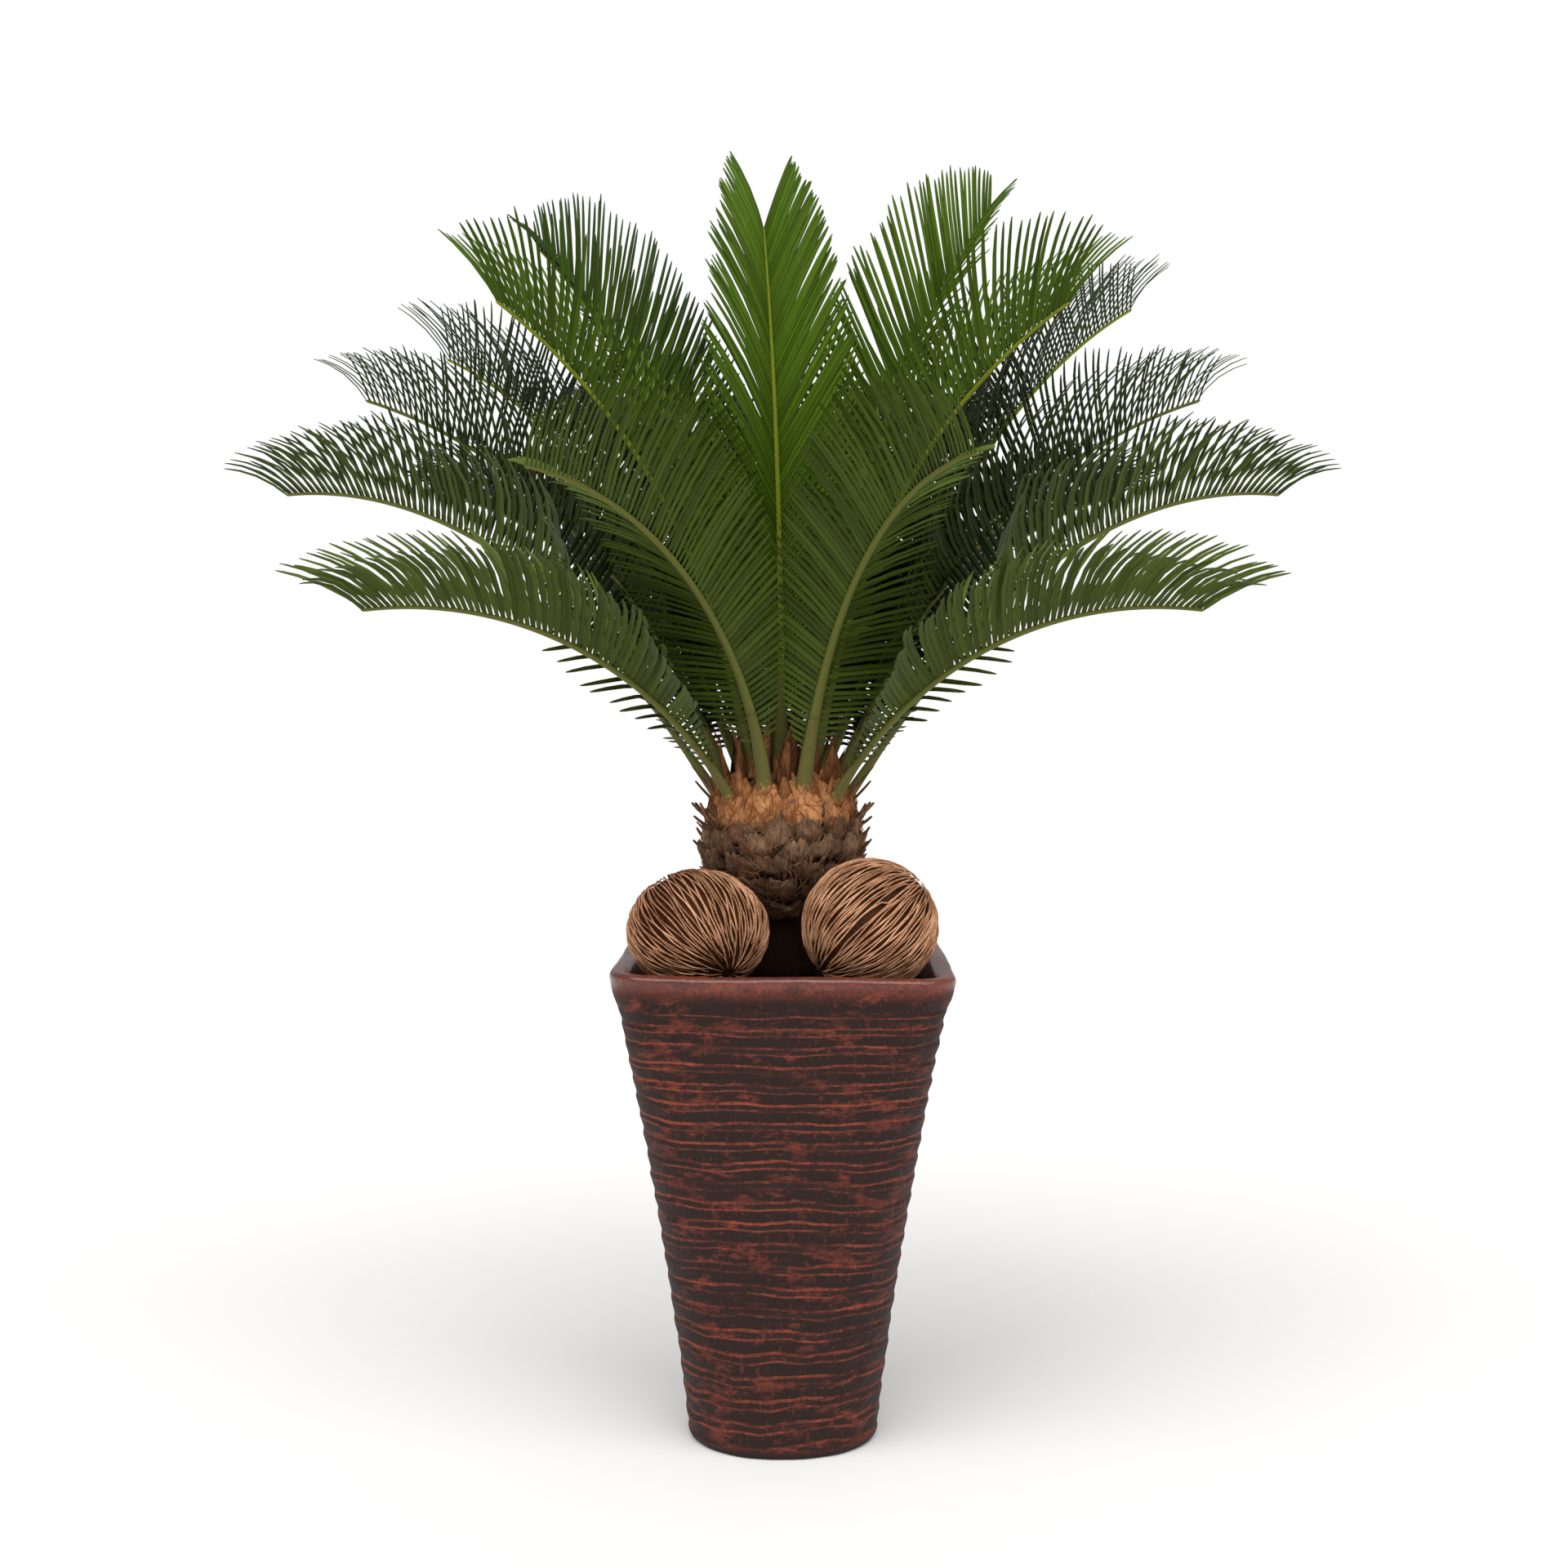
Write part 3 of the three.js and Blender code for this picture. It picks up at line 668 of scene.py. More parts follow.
class SAGO_OT_soil(Operator):
    """Builds the soil and its crumbs"""

    bl_idname = "sago.soil"
    bl_label = "Soil"

    def execute(self, context):
        pot, soil = context.scene.sago_pot, context.scene.sago_soil
        finished("soil_bed", soil_mesh(pot, soil), [crumbly_earth("earth", soil, 0.6)], ["soil"])
        crumbs = Bundle()
        add_crumbs(crumbs, pot, soil)
        earths = [crumbly_earth("wet_crumb", soil, 0.35), crumbly_earth("dry_crumb", soil, 1.0)]
        finished("soil_crumbs", crumbs.mesh("soil_crumbs", True), earths)
        return {"FINISHED"}


# ---- seed balls ----

# at is where each ball lies, and pole the direction of the pole that its strands run from.
# seam is a direction that its open seam passes, or None where it has none. pale shares its
# strands out among the three finishes, the palest first, and dense is how many times the
# strands of the left ball it has.
SEED_BALLS = {
    "seed_ball_left": dict(
        at=(-0.0555, -0.050, 0.3475), radii=(0.0465, 0.041, 0.0405), pole=(0.45, -0.645, -0.617),
        seam=None, pale=(0.25, 0.4, 0.35), dense=1,
    ),
    # The right ball's larger share of pale strands is painted light, as if light fell on it from the right.
    "seed_ball_right": dict(
        at=(0.057, -0.050, 0.351), radii=(0.0447, 0.044, 0.044), pole=(-0.74, -0.17, -0.65),
        seam=(-0.3, -0.95, 0.0), pale=(0.7, 0.28, 0.02), dense=1.2,
    ),
}
STRAND_STATIONS = 44
STRAND_SIDES = 5
STRAND_LEVELS = (0, 3, 2, 3, 1, 3, 2, 3)  # how late each strand of eight parts from its neighbour
STRAND_PARTING = (0.015, 0.05, 0.10, 0.19)  # where a strand of each level starts, pole to pole
STRAND_PARENTS = (1, 8, 4, 2)  # a strand of each level parts from the last whose number this divides
STRAND_GROUP = len(STRAND_LEVELS)
POLE_GAP = 0.02  # how far all strands stay from the poles, pole to pole
PARTING_LENGTH = 0.14  # how long a strand takes to leave its neighbour, pole to pole


def ball_axes(place):
    """The pole and two directions across it. Longitude 0 passes the seam."""
    axis = unit(np.array(place["pole"], float))
    hint = np.array(place["seam"] or (0.0, 0.0, 1.0), float)
    across = unit(hint - axis * (hint @ axis))
    return axis, across, np.cross(axis, across)


def strand_longitudes(strands, number, along, draw):
    """A strand's longitude at each place along it, pole to pole. It leaves its parent's line at its
    own level, and sways towards one neighbour and then the other, so that the strands close into a net."""
    slot = 2 * math.pi / strands
    level = STRAND_LEVELS[number % STRAND_GROUP]
    parent = number - number % STRAND_PARENTS[level]
    start = STRAND_PARTING[level]
    leave = soft_step(along, start, start + PARTING_LENGTH)
    back = soft_step(1 - along, start * 0.9, start * 0.9 + PARTING_LENGTH)
    base = slot * (parent + (number - parent) * np.minimum(leave, back))
    phase = along * draw.uniform(14, 20) + math.pi * (number % 2) + draw.uniform(-0.6, 0.6)
    sway = slot * 0.4 * np.sin(phase)
    drift = slot * 0.7 * np.sin(along * 5 + number * 0.21 + draw.uniform(-0.5, 0.5))
    return base + (sway + drift) * np.sin(math.pi * along)


def add_strands(bundle, ball, place, draw):
    """A ball's strands from pole to pole, parted by the seam where it has one."""
    axis, across, third = ball_axes(place)
    strands = round(ball.strands * place["dense"] / STRAND_GROUP) * STRAND_GROUP
    for number in range(strands):
        level = STRAND_LEVELS[number % STRAND_GROUP]
        start = STRAND_PARTING[level] * draw.uniform(0.9, 1.15)
        along = np.linspace(start * 0.8 + POLE_GAP, 1 - start * 0.8 - POLE_GAP, STRAND_STATIONS)
        longitude = strand_longitudes(strands, number, along, draw)
        if place["seam"]:
            half_turn = (longitude + math.pi) % (2 * math.pi) - math.pi
            longitude = longitude + ball.seam / 2 * np.sign(half_turn) * (1 - np.abs(half_turn) / math.pi)
        climb = along * math.pi
        ring = np.cos(longitude)[:, None] * across + np.sin(longitude)[:, None] * third
        line = np.cos(climb)[:, None] * axis + np.sin(climb)[:, None] * ring
        lift = ball.lift * np.sin(along * draw.uniform(20, 34) + draw.uniform(0, 6)) - ball.strand
        path = np.array(place["at"]) + line * (np.array(place["radii"]) + lift[:, None])
        ends = soft_step(along - along[0], -0.02, 0.1) * soft_step(along[-1] - along, -0.02, 0.1)
        width = ball.strand * draw.uniform(0.75, 1.15) * (0.45 + 0.55 * ends)
        width = width * (1 + 0.12 * np.sin(along * 50 + number)) * (0.72 + 0.28 * np.sin(climb))
        rings = tube_rings(path, width, STRAND_SIDES, flat=0.8, across=line)
        tip = path[-1] + (path[-1] - path[-2]) * 0.4
        bundle.add_spike(rings, tip, int(draw.choice([0, 1, 2], p=place["pale"])))


def add_core(bundle, ball, place, finish):
    """The dark core that shows between a ball's strands: a sheet of painted shade for the ball's shadowed
    depths.
    """
    points, faces = sphere_shape(5)
    deep = ball.core * (1 + 0.25 * rough(points, 6, 7))
    core = points * (np.array(place["radii"]) - deep[:, None]) + np.array(place["at"])
    bundle.add(core, faces, finish)


def seed_fibre(name, light, dark):
    """Dry fibre with fine streaks, darker where it is worn."""
    shader = Shader(name)
    streak = shader.noise(900, detail=4, roughness=0.7)
    stain = shader.noise(60, detail=3)
    shade = shader.mix((streak * 0.6 + stain * 0.5).step(0.36, 0.72), dark, light)
    return shader.finish(
        base_color=shade,
        roughness=0.85,
        specular_ior_level=0.1,
        normal=shader.bump(streak, 0.0006),
    )


def blend(low, high, part):
    """A colour between low and high."""
    return tuple(a + (b - a) * part for a, b in zip(low, high))


class SAGO_OT_seed_balls(Operator):
    """Builds the two fibrous seed balls"""

    bl_idname = "sago.seed_balls"
    bl_label = "Seed balls"

    def execute(self, context):
        ball = context.scene.sago_ball
        light, brown, groove = tuple(ball.light), tuple(ball.brown), tuple(ball.groove)
        finishes = [
            seed_fibre("seed_fibre_light", light, brown),
            seed_fibre("seed_fibre_mid", blend(brown, light, 0.7), blend(groove, brown, 0.8)),
            seed_fibre("seed_fibre_dark", blend(brown, light, 0.45), blend(groove, brown, 0.5)),
            seed_fibre("seed_core", blend(groove, brown, 0.3), groove),
        ]
        for number, (name, place) in enumerate(SEED_BALLS.items()):
            bundle = Bundle()
            add_core(bundle, ball, place, finish=3)
            add_strands(bundle, ball, place, np.random.default_rng(31 + number))
            finished(f"{name}_fibres", bundle.mesh(name, True), finishes, [name])
        return {"FINISHED"}


# ---- trunk ----

# Radius and height of the trunk, from its cut at the soil up to the shoulder.
TRUNK_PROFILE = (
    (0.029, 0.3083), (0.025, 0.320), (0.024, 0.345), (0.027, 0.358), (0.037, 0.369), (0.046, 0.379),
    (0.0505, 0.388), (0.052, 0.397), (0.051, 0.406), (0.0485, 0.413), (0.046, 0.420),
)
WOOL_FROM = 0.4115  # height at which the woolly bases start
SHIELDS_FROM = 0.352  # height at which the old leaf bases start
STUB_HEIGHTS = (0.366, 0.428)
HAIR_HEIGHTS = (0.355, 0.436)
DOME_STEPS = 12
CORE_INSET = 0.005  # how deep the core lies under the trunk's outline
CORE_ROUGHNESS = 0.0014
CORE_COLUMNS = 96
SHIELD_COLUMNS = 12
SHIELD_ROWS = 14
LEAST_RADIUS = 0.02  # sizes round the trunk are turned into angles at this radius or more
SHIELD_ROOT = 0.007  # how deep under the surface a shield's back meets in a point
# Places up a shield, its width there over the widest, and its bulge over its thickness.
SHIELD_OUTLINE = ((0, 0.2, 0.5, 0.8, 1), (0.6, 0.92, 1, 0.9, 0.6))
SHIELD_SWELL = ((0, 0.2, 0.6, 0.85, 1), (0.2, 0.6, 0.95, 1.15, 1.25))
SLEEVE_SIDES = 14
# Half width and thickness of the woolly sleeve round a stalk, from its foot upwards. Its
# last four stations lie on the stalk, at these places from the stalk's foot.
SLEEVE_HALF = np.array([3.5, 6.2, 8.2, 9.3, 9.7, 9.7, 9.5, 9.2, 8.8, 8.1, 7.0, 5.6, 4.0]) * 0.001
SLEEVE_THICK = np.array([0.6, 2.1, 3.5, 4.4, 4.8, 5.0, 5.2, 5.4, 5.4, 5.1, 4.4, 3.5, 2.4]) * 0.001
SLEEVE_UP_STALK = np.array([-0.003, -0.001, 0.001, 0.003])
SLEEVE_HEIGHT = 0.024  # how far under the stalk's foot a sleeve starts, at most
BARE_REACH = 0.015  # stalks nearer the trunk's axis than this have no sleeve
NARROW_REACH = 0.035  # and nearer than this a narrow one
OUTER_REACH = 0.038  # the pointed bases stand between the stalks farther out than this
# Places along a pointed woolly base, and its half width and thickness there in millimetres.
POINTED_PLACES = (0, 0.15, 0.4, 0.7, 1)
POINTED_HALF = (3, 7.4, 8.6, 6.0, 1.2)
POINTED_THICK = (0.6, 2.8, 3.8, 2.6, 0.7)
POINTED_STATIONS = 11
POINTED_APART = 0.3  # the turn from one to the next, in radians, or a little more
HAIRS_OVER_WOOL, HAIRS_OVER_SHIELDS = 0.0046, 0.0034  # how far the hairs lie over the surface
# The rings of bracts: distance from the axis, number of bracts and height of the tallest.
BRACT_RINGS = ((0.043, 24, 0.029), (0.036, 16, 0.038), (0.027, 9, 0.045))
BRACT_STATIONS = np.array([0, 0.1, 0.25, 0.45, 0.65, 0.82, 0.94])
BRACT_OUTLINE = np.array([0.75, 0.95, 1, 0.88, 0.62, 0.32, 0.12])  # half width over the widest
BRACT_GAP = 0.0055  # no bract stands nearer a stalk than this
# A bract's section across and outward: its outer face, and then its hollow inner one.
BRACT_SECTION = (
    (-1, 0), (-0.55, 0.55), (0, 0.8), (0.55, 0.55), (1, 0), (0.55, 0.2), (0, 0.42), (-0.55, 0.2),
)
# Turn round the trunk in degrees, height, climb in degrees, length and thickness of the
# longest splinters on the left. The right has the same.
LONG_SPLINTERS = (
    (186, 0.415, 36, 0.020, 0.0019), (180, 0.413, 48, 0.019, 0.0017), (192, 0.412, 58, 0.018, 0.0018),
    (176, 0.410, 30, 0.015, 0.0016), (184, 0.400, 50, 0.014, 0.0016), (176, 0.392, 38, 0.015, 0.0015),
    (190, 0.386, 54, 0.015, 0.0016), (182, 0.380, 46, 0.013, 0.0014), (188, 0.432, 42, 0.028, 0.0011),
    (182, 0.427, 40, 0.022, 0.0014), (196, 0.428, 60, 0.021, 0.0012),
)


def trunk_line(trunk, inset=0.0):
    """Points (radius, height) up the trunk and over its dome."""
    line = list(TRUNK_PROFILE)
    for step in range(1, DOME_STEPS + 1):
        climb = math.pi / 2 * step / DOME_STEPS
        height = trunk.dome_base + trunk.dome_height * math.sin(climb)
        line.append((trunk.dome_radius * math.cos(climb), height))
    line = np.array(line)
    if inset:
        along = unit(np.gradient(line, axis=0))
        line = line - inset * np.stack([along[:, 1], -along[:, 0]], axis=1)
        line[:, 0] = np.maximum(line[:, 0], 0)
        line[0, 1] = TRUNK_PROFILE[0][1]
        line[-1, 0] = 0
    return line


class TrunkSkin:
    """The trunk's surface, unrolled: a turn round the axis and a length up from the cut."""

    def __init__(self, trunk):
        self.trunk = trunk
        self.line = trunk_line(trunk)
        steps = np.linalg.norm(np.diff(self.line, axis=0), axis=1)
        self.lengths = np.concatenate([[0], np.cumsum(steps)])
        slopes = unit(np.gradient(self.line, axis=0))
        self.normals = np.stack([slopes[:, 1], -slopes[:, 0]], axis=1)

    def length_at(self, height):
        return float(np.interp(height, self.line[:, 1], self.lengths))

    def section(self, length):
        """Radius and height of the surface at a length, and its direction outward and upward."""
        columns = (*self.line.T, *self.normals.T)
        return [np.interp(length, self.lengths, column) for column in columns]

    def radius(self, length):
        return float(self.section(length)[0])

    def point(self, turn, length, lift):
        """A point that stands over the surface by lift."""
        radius, height, out, up = self.section(length)
        reach = radius + out * lift
        x, y = reach * np.cos(turn), self.trunk.y + reach * np.sin(turn)
        return np.stack([x, y, height + up * lift], axis=-1)

    def outward(self, turn, length):
        """The direction out of the surface."""
        _, _, out, up = self.section(length)
        return np.stack([out * np.cos(turn), out * np.sin(turn), up + 0 * turn], axis=-1)


def shield_faces():
    """Faces of a grid front with a fan behind it, from its rim to one point."""
    across = SHIELD_COLUMNS + 1
    faces = []
    for row in range(SHIELD_ROWS):
        for column in range(SHIELD_COLUMNS):
            a = row * across + column
            faces.append((a, a + 1, a + 1 + across, a + across))
    top = SHIELD_ROWS * across
    rim = list(range(across))
    rim += [row * across + SHIELD_COLUMNS for row in range(1, SHIELD_ROWS)]
    rim += list(range(top + SHIELD_COLUMNS, top - 1, -1))
    rim += [row * across for row in range(SHIELD_ROWS - 1, 0, -1)]
    back = top + across
    faces.extend((rim[(i + 1) % len(rim)], rim[i], back) for i in range(len(rim)))
    return faces


def shield_points(skin, turn, length, width, height, thick, draw):
    """One old leaf base: a bulging shield whose rim lies under the trunk's surface. Its tone, painted
    shade, falls towards its foot, in the crevice behind the row below, and towards its sides."""
    u, v = np.meshgrid(np.linspace(-1, 1, SHIELD_COLUMNS + 1), np.linspace(0, 1, SHIELD_ROWS + 1))
    outline = np.interp(v, *SHIELD_OUTLINE)
    swell = np.interp(v, *SHIELD_SWELL)
    crown = (1 - np.abs(u) ** 2.4) ** 0.8
    seed = draw.uniform(0, 100)
    at = list(zip(u.ravel(), v.ravel()))
    ribs = np.array([noise.noise((a * 7 + seed, b * 1.6, seed)) for a, b in at]).reshape(u.shape)
    lumps = np.array([noise.noise((a * 2.4, b * 2.6 + seed, 3)) for a, b in at]).reshape(u.shape)
    lift = thick * (swell * crown - 0.42) + 0.0009 * ribs * crown + 0.0022 * lumps * crown
    lean = draw.uniform(-0.16, 0.16)
    radius = max(skin.radius(length + height * 0.5), LEAST_RADIUS)
    side = u * outline * width / 2 + lean * (v - 0.4) * height
    torn = np.array([noise.noise((a * 3.5 + seed, 5, seed)) for a in u[0]])[None] * v**3
    lengths = length + v * height * (1 + 0.32 * torn)
    front = skin.point(turn + side / radius, lengths, lift + 0.003 * torn)
    back = skin.point(turn, length + 0.5 * height, -SHIELD_ROOT)
    # Painted shade at the shield's foot and sides.
    tone = soft_step(v, 0.0, 0.5) * (1 - 0.55 * np.abs(u) ** 4)
    return np.vstack([front.reshape(-1, 3), back]), np.append(tone, 0)


def add_shields(bundle, skin):
    """Rows of old leaf bases up the trunk."""
    trunk = skin.trunk
    draw = np.random.default_rng(5)
    faces = shield_faces()
    low, high = skin.length_at(SHIELDS_FROM), skin.length_at(WOOL_FROM) - 0.004
    rows = int((high - low) / trunk.scale_row) + 1
    for row in range(rows):
        length = low + row * trunk.scale_row
        radius = skin.radius(length + 0.01)
        number = max(7, round(2 * math.pi * radius / (trunk.scale_width * 0.84)))
        for i in range(number):
            turn = 2 * math.pi * (i + 0.5 * (row % 2) + draw.uniform(-0.14, 0.14)) / number
            width = trunk.scale_width * draw.uniform(0.85, 1.15)
            height = trunk.scale_height * draw.uniform(0.8, 1.1)
            start = length + draw.uniform(-0.003, 0.003)
            thick = draw.uniform(0.0062, 0.0086)
            shape, tone = shield_points(skin, turn, start, width, height, thick, draw)
            bundle.add(shape, faces, int(draw.choice([0, 0, 1])), tone)


def sleeve(path, outward, half, thick):
    """Rings of a flattened tube whose outer half bulges by thick, its tip, and tones of painted shade that
    darken its sides and its foot."""
    ahead = unit(np.gradient(path, axis=0))
    out = unit(outward - ahead * np.sum(outward * ahead, axis=1)[:, None])
    side = np.cross(ahead, out)
    turn = 2 * np.pi * np.arange(SLEEVE_SIDES) / SLEEVE_SIDES
    bulge = np.where(np.sin(turn) > 0, 1.0, 0.7) * np.sin(turn)
    rings = (
        path[:, None]
        + side[:, None] * half[:, None, None] * np.cos(turn)[None, :, None]
        + out[:, None] * thick[:, None, None] * bulge[None, :, None]
    )
    foot = soft_step(np.arange(len(path)), -1, 2.5)
    # Painted shade on the sleeve's sides and foot.
    tone = foot[:, None] * soft_step(np.sin(turn), -0.1, 0.75)[None, ::-1]
    return rings[:, ::-1], path[-1] + (path[-1] - path[-2]) * 0.3, np.append(tone, 1)


def felted(rings, amount, seed):
    """Rings with the roughness of felt."""
    flat = rings.reshape(-1, 3)
    middle = rings.mean(axis=1, keepdims=True)
    return rings + (rings - middle) * amount * rough(flat, 330, seed).reshape(*rings.shape[:2], 1)


def add_woolly_bases(bundle, skin):
    """A woolly sleeve round the foot of each stalk, and pointed ones between the outermost."""
    draw = np.random.default_rng(19)
    low = skin.length_at(WOOL_FROM)
    along = np.linspace(0, 1, len(SLEEVE_HALF) - len(SLEEVE_UP_STALK))
    for frond in all_fronds():
        if frond["reach"] < BARE_REACH:
            continue
        rib = Rib(frond, skin.trunk)
        turn = math.radians(frond["seat"]) + draw.uniform(-0.03, 0.03)
        seat = skin.length_at(rib.points[0][2] - 0.005)
        start = max(low, seat - SLEEVE_HEIGHT) + draw.uniform(-0.003, 0.001)
        lengths = start + (seat - start) * along
        share = SLEEVE_UP_STALK / frond["length"]
        path = np.vstack([skin.point(turn, lengths, -0.0006), rib.at(share)])
        outward = np.vstack([skin.outward(turn, lengths), -rib.up(share)])
        scale = draw.uniform(0.92, 1.08) * (0.8 if frond["reach"] < NARROW_REACH else 1.0)
        rings, tip, tone = sleeve(path, outward, SLEEVE_HALF * scale, SLEEVE_THICK)
        bundle.add_spike(felted(rings, 0.1, turn), tip, 0, tone)
    add_pointed_bases(bundle, skin, draw)


def add_pointed_bases(bundle, skin, draw):
    """Pointed woolly bases all round, between the outermost stalks."""
    seats = [math.radians(frond["seat"]) for frond in all_fronds() if frond["reach"] > OUTER_REACH]
    outer = sorted(seat % (2 * math.pi) for seat in seats)
    low = skin.length_at(WOOL_FROM)
    v = np.linspace(0, 1, POINTED_STATIONS)
    half, thick = (np.interp(v, POINTED_PLACES, sizes) * 0.001 for sizes in (POINTED_HALF, POINTED_THICK))
    for here, there in zip(outer, outer[1:] + [outer[0] + 2 * math.pi]):
        number = max(2, int((there - here) / POINTED_APART))
        for step in range(number):
            turn = here + (there - here) * (step + 0.5 + draw.uniform(-0.1, 0.1)) / number
            height = draw.uniform(0.028, 0.045)
            lengths = low + draw.uniform(-0.002, 0.002) + height * v
            path = skin.point(turn, lengths, 0.0006 + 0.004 * v**3)
            rings, tip, tone = sleeve(path, skin.outward(turn, lengths), half, thick)
            bundle.add_spike(felted(rings, 0.12, turn), tip, step % 2, tone)


def around(turn):
    """The direction out of the trunk's axis at a turn round it, and the one that runs round it."""
    return np.array([math.cos(turn), math.sin(turn), 0]), np.array([-math.sin(turn), math.cos(turn), 0])


def add_bracts(bundle, skin):
    """Broad pointed bracts between the stalks, in rings from the shoulder inwards. Some end in dark
    awns."""
    trunk = skin.trunk
    draw = np.random.default_rng(17)
    feet = np.linspace(0, STALK_END, 12)
    stalks = [point for frond in all_fronds() for point in Rib(frond, trunk).at(feet)]
    for radius, number, tall in BRACT_RINGS:
        climb = math.acos(radius / trunk.dome_radius)
        foot = trunk.dome_base + trunk.dome_height * math.sin(climb) - 0.006
        for i in range(number):
            out, aside = around(2 * math.pi * (i + draw.uniform(-0.25, 0.25)) / number)
            at = np.array([0, trunk.y, foot]) + out * radius
            height = tall * draw.uniform(0.7, 1.15)
            lean = draw.uniform(0.05, 0.28)
            curl = draw.uniform(-0.2, 0.25)
            top = at + (0, 0, height) + out * height * (lean - curl)
            middle = at + (0, 0, height * 0.5) + out * height * lean * 0.6
            if any(np.linalg.norm(stalk - spot) < BRACT_GAP for stalk in stalks for spot in (middle, top)):
                continue
            sway = draw.uniform(-0.14, 0.14)
            s = BRACT_STATIONS[:, None]
            path = at + np.array([0, 0, height]) * s + out * height * (lean * s - curl * s**2)
            path = path + aside * height * sway * s**2
            half = trunk.bract_width / 2 * draw.uniform(0.7, 1.15) * BRACT_OUTLINE
            rings = bract_rings(path, half, aside, out, draw.uniform(0.25, 0.5))
            tip = path[-1] + (path[-1] - path[-2]) * 0.9
            outermost = radius == BRACT_RINGS[0][0]
            bundle.add_spike(rings, tip, int(draw.choice([0, 0, 1])) if outermost else 1)
            for _ in range(draw.integers(0, 4)):
                add_awn(bundle, path, out, aside, draw)


def bract_rings(path, half, aside, out, fold):
    """Flat rings of eight points, hollow on the inner side."""
    rings = []
    for at, reach in zip(path, half):
        rings.append([at + aside * reach * a + out * reach * fold * 1.6 * b for a, b in BRACT_SECTION])
    return np.array(rings)[:, ::-1]


def add_awn(bundle, path, out, aside, draw):
    """A thin dark awn at the tip of a bract that runs along path."""
    ahead = unit(path[-1] - path[-2]) + aside * draw.normal(0, 0.25) + out * draw.uniform(0, 0.4)
    awn = path[-2] + ahead * draw.uniform(0.008, 0.015) * np.array([0, 0.35, 0.7, 0.95])[:, None]
    awn = awn + aside * draw.normal(0, 0.0012) * np.array([0, 0.1, 0.5, 1])[:, None]
    radii = np.array([0.0011, 0.0008, 0.0005, 0.0003])
    rings = tube_rings(awn, radii, 4, flat=0.5, across=aside)
    bundle.add_spike(rings, awn[-1] + ahead * 0.0006, 2)


def add_stubs(bundle, skin):
    """Broken stubs that stand out of the old leaf bases, thickest under the woolly ones, and the
    longest splinters."""
    draw = np.random.default_rng(23)
    low, high = (skin.length_at(height) for height in STUB_HEIGHTS)
    for _ in range(skin.trunk.stubs):
        turn, length = draw.uniform(0, 2 * math.pi), low + (high - low) * draw.uniform(0, 1) ** 0.7
        climb = draw.uniform(0.5, 1.1)
        reach = draw.uniform(0.007, 0.014)
        thick = draw.uniform(0.0009, 0.0018)
        add_splinter(bundle, skin, turn, length, climb, reach, thick, draw)
    for turn, height, climb, reach, thick in LONG_SPLINTERS:
        length = skin.length_at(height)
        for side in (turn, 180 - turn):
            add_splinter(bundle, skin, math.radians(side), length, math.radians(climb), reach, thick, draw)


def add_splinter(bundle, skin, turn, length, climb, reach, thick, draw):
    """A broken stub of four sides that climbs out of the trunk."""
    outward, aside = around(turn)
    upward = np.array([0, 0, 1])
    ahead = unit(outward * math.cos(climb) + upward * math.sin(climb) + aside * draw.uniform(-0.3, 0.3))
    s = np.array([0, 0.35, 0.7, 0.92])[:, None]
    path = skin.point(turn, length, -0.001) + ahead * reach * s + upward * reach * 0.15 * s**2
    rings = tube_rings(path, thick * np.array([1.2, 1, 0.9, 0.7]), 4, flat=0.7, across=aside)
    bundle.add_spike(rings, path[-1] + ahead * reach * 0.06, int(draw.choice([1, 2, 2])))


def add_hairs(bundle, skin):
    """Loose fibres that lie on the leaf bases and hang off their edges."""
    draw = np.random.default_rng(29)
    low, high = (skin.length_at(height) for height in HAIR_HEIGHTS)
    wool = skin.length_at(WOOL_FROM)
    for _ in range(skin.trunk.hairs):
        turn, length = draw.uniform(0, 2 * math.pi), draw.uniform(low, high)
        reach = draw.uniform(0.006, 0.018)
        slant = draw.normal(0, 0.6)
        s = np.linspace(0, 1, 5)
        radius = max(skin.radius(length), LEAST_RADIUS)
        turns = turn + slant * reach * s / radius + 0.05 * np.sin(s * draw.uniform(2, 5))
        over = HAIRS_OVER_WOOL if length > wool - 0.004 else HAIRS_OVER_SHIELDS
        lift = over + 0.0012 * np.sin(s * 3 + draw.uniform(0, 6)) + draw.uniform(0, 0.0025) * s**2
        path = skin.point(turns, length + reach * s * math.cos(slant), lift)
        thick = draw.uniform(0.00016, 0.00034)
        rings = tube_rings(path[:-1], np.full(4, thick), 3)
        finish = 0 if length > wool or draw.random() < 0.15 else int(draw.integers(1, 3))
        bundle.add_spike(rings, path[-1], finish)


def fibrous(name, light, dark, stains=0.5, rust=None, painted_shade=False):
    """Upright fibres with streaks of light and dark and broad light stains. rust adds patches of its
    colour. Where asked, the fibres take painted shade where the mesh's tone is low."""
    shader = Shader(name)
    strand = shader.noise(620, (1, 1, 0.16), detail=4, roughness=0.65)
    fuzz = shader.noise(1500, (1, 1, 0.5), detail=2)
    stain = shader.noise(70, detail=4, roughness=0.6)
    tone = (strand * 0.75 + fuzz * 0.2 + stain * stains - 0.22).step(0.28, 0.78)
    shade = shader.mix(tone, dark, light)
    if rust:
        shade = shader.mix(shader.noise(85, (1, 1, 0.6), detail=4).step(0.6, 0.7) * 0.55, shade, rust)
    # Painted shade where the mesh's tone is low, at 0.3 of the dark colour.
    if painted_shade:
        shade = shader.mix(shader.attribute("tone"), blend((0, 0, 0), dark, 0.3), shade)
    relief = shader.bump(strand + fuzz * 0.5, 0.0016)
    return shader.finish(base_color=shade, roughness=0.92, specular_ior_level=0.12, normal=relief)


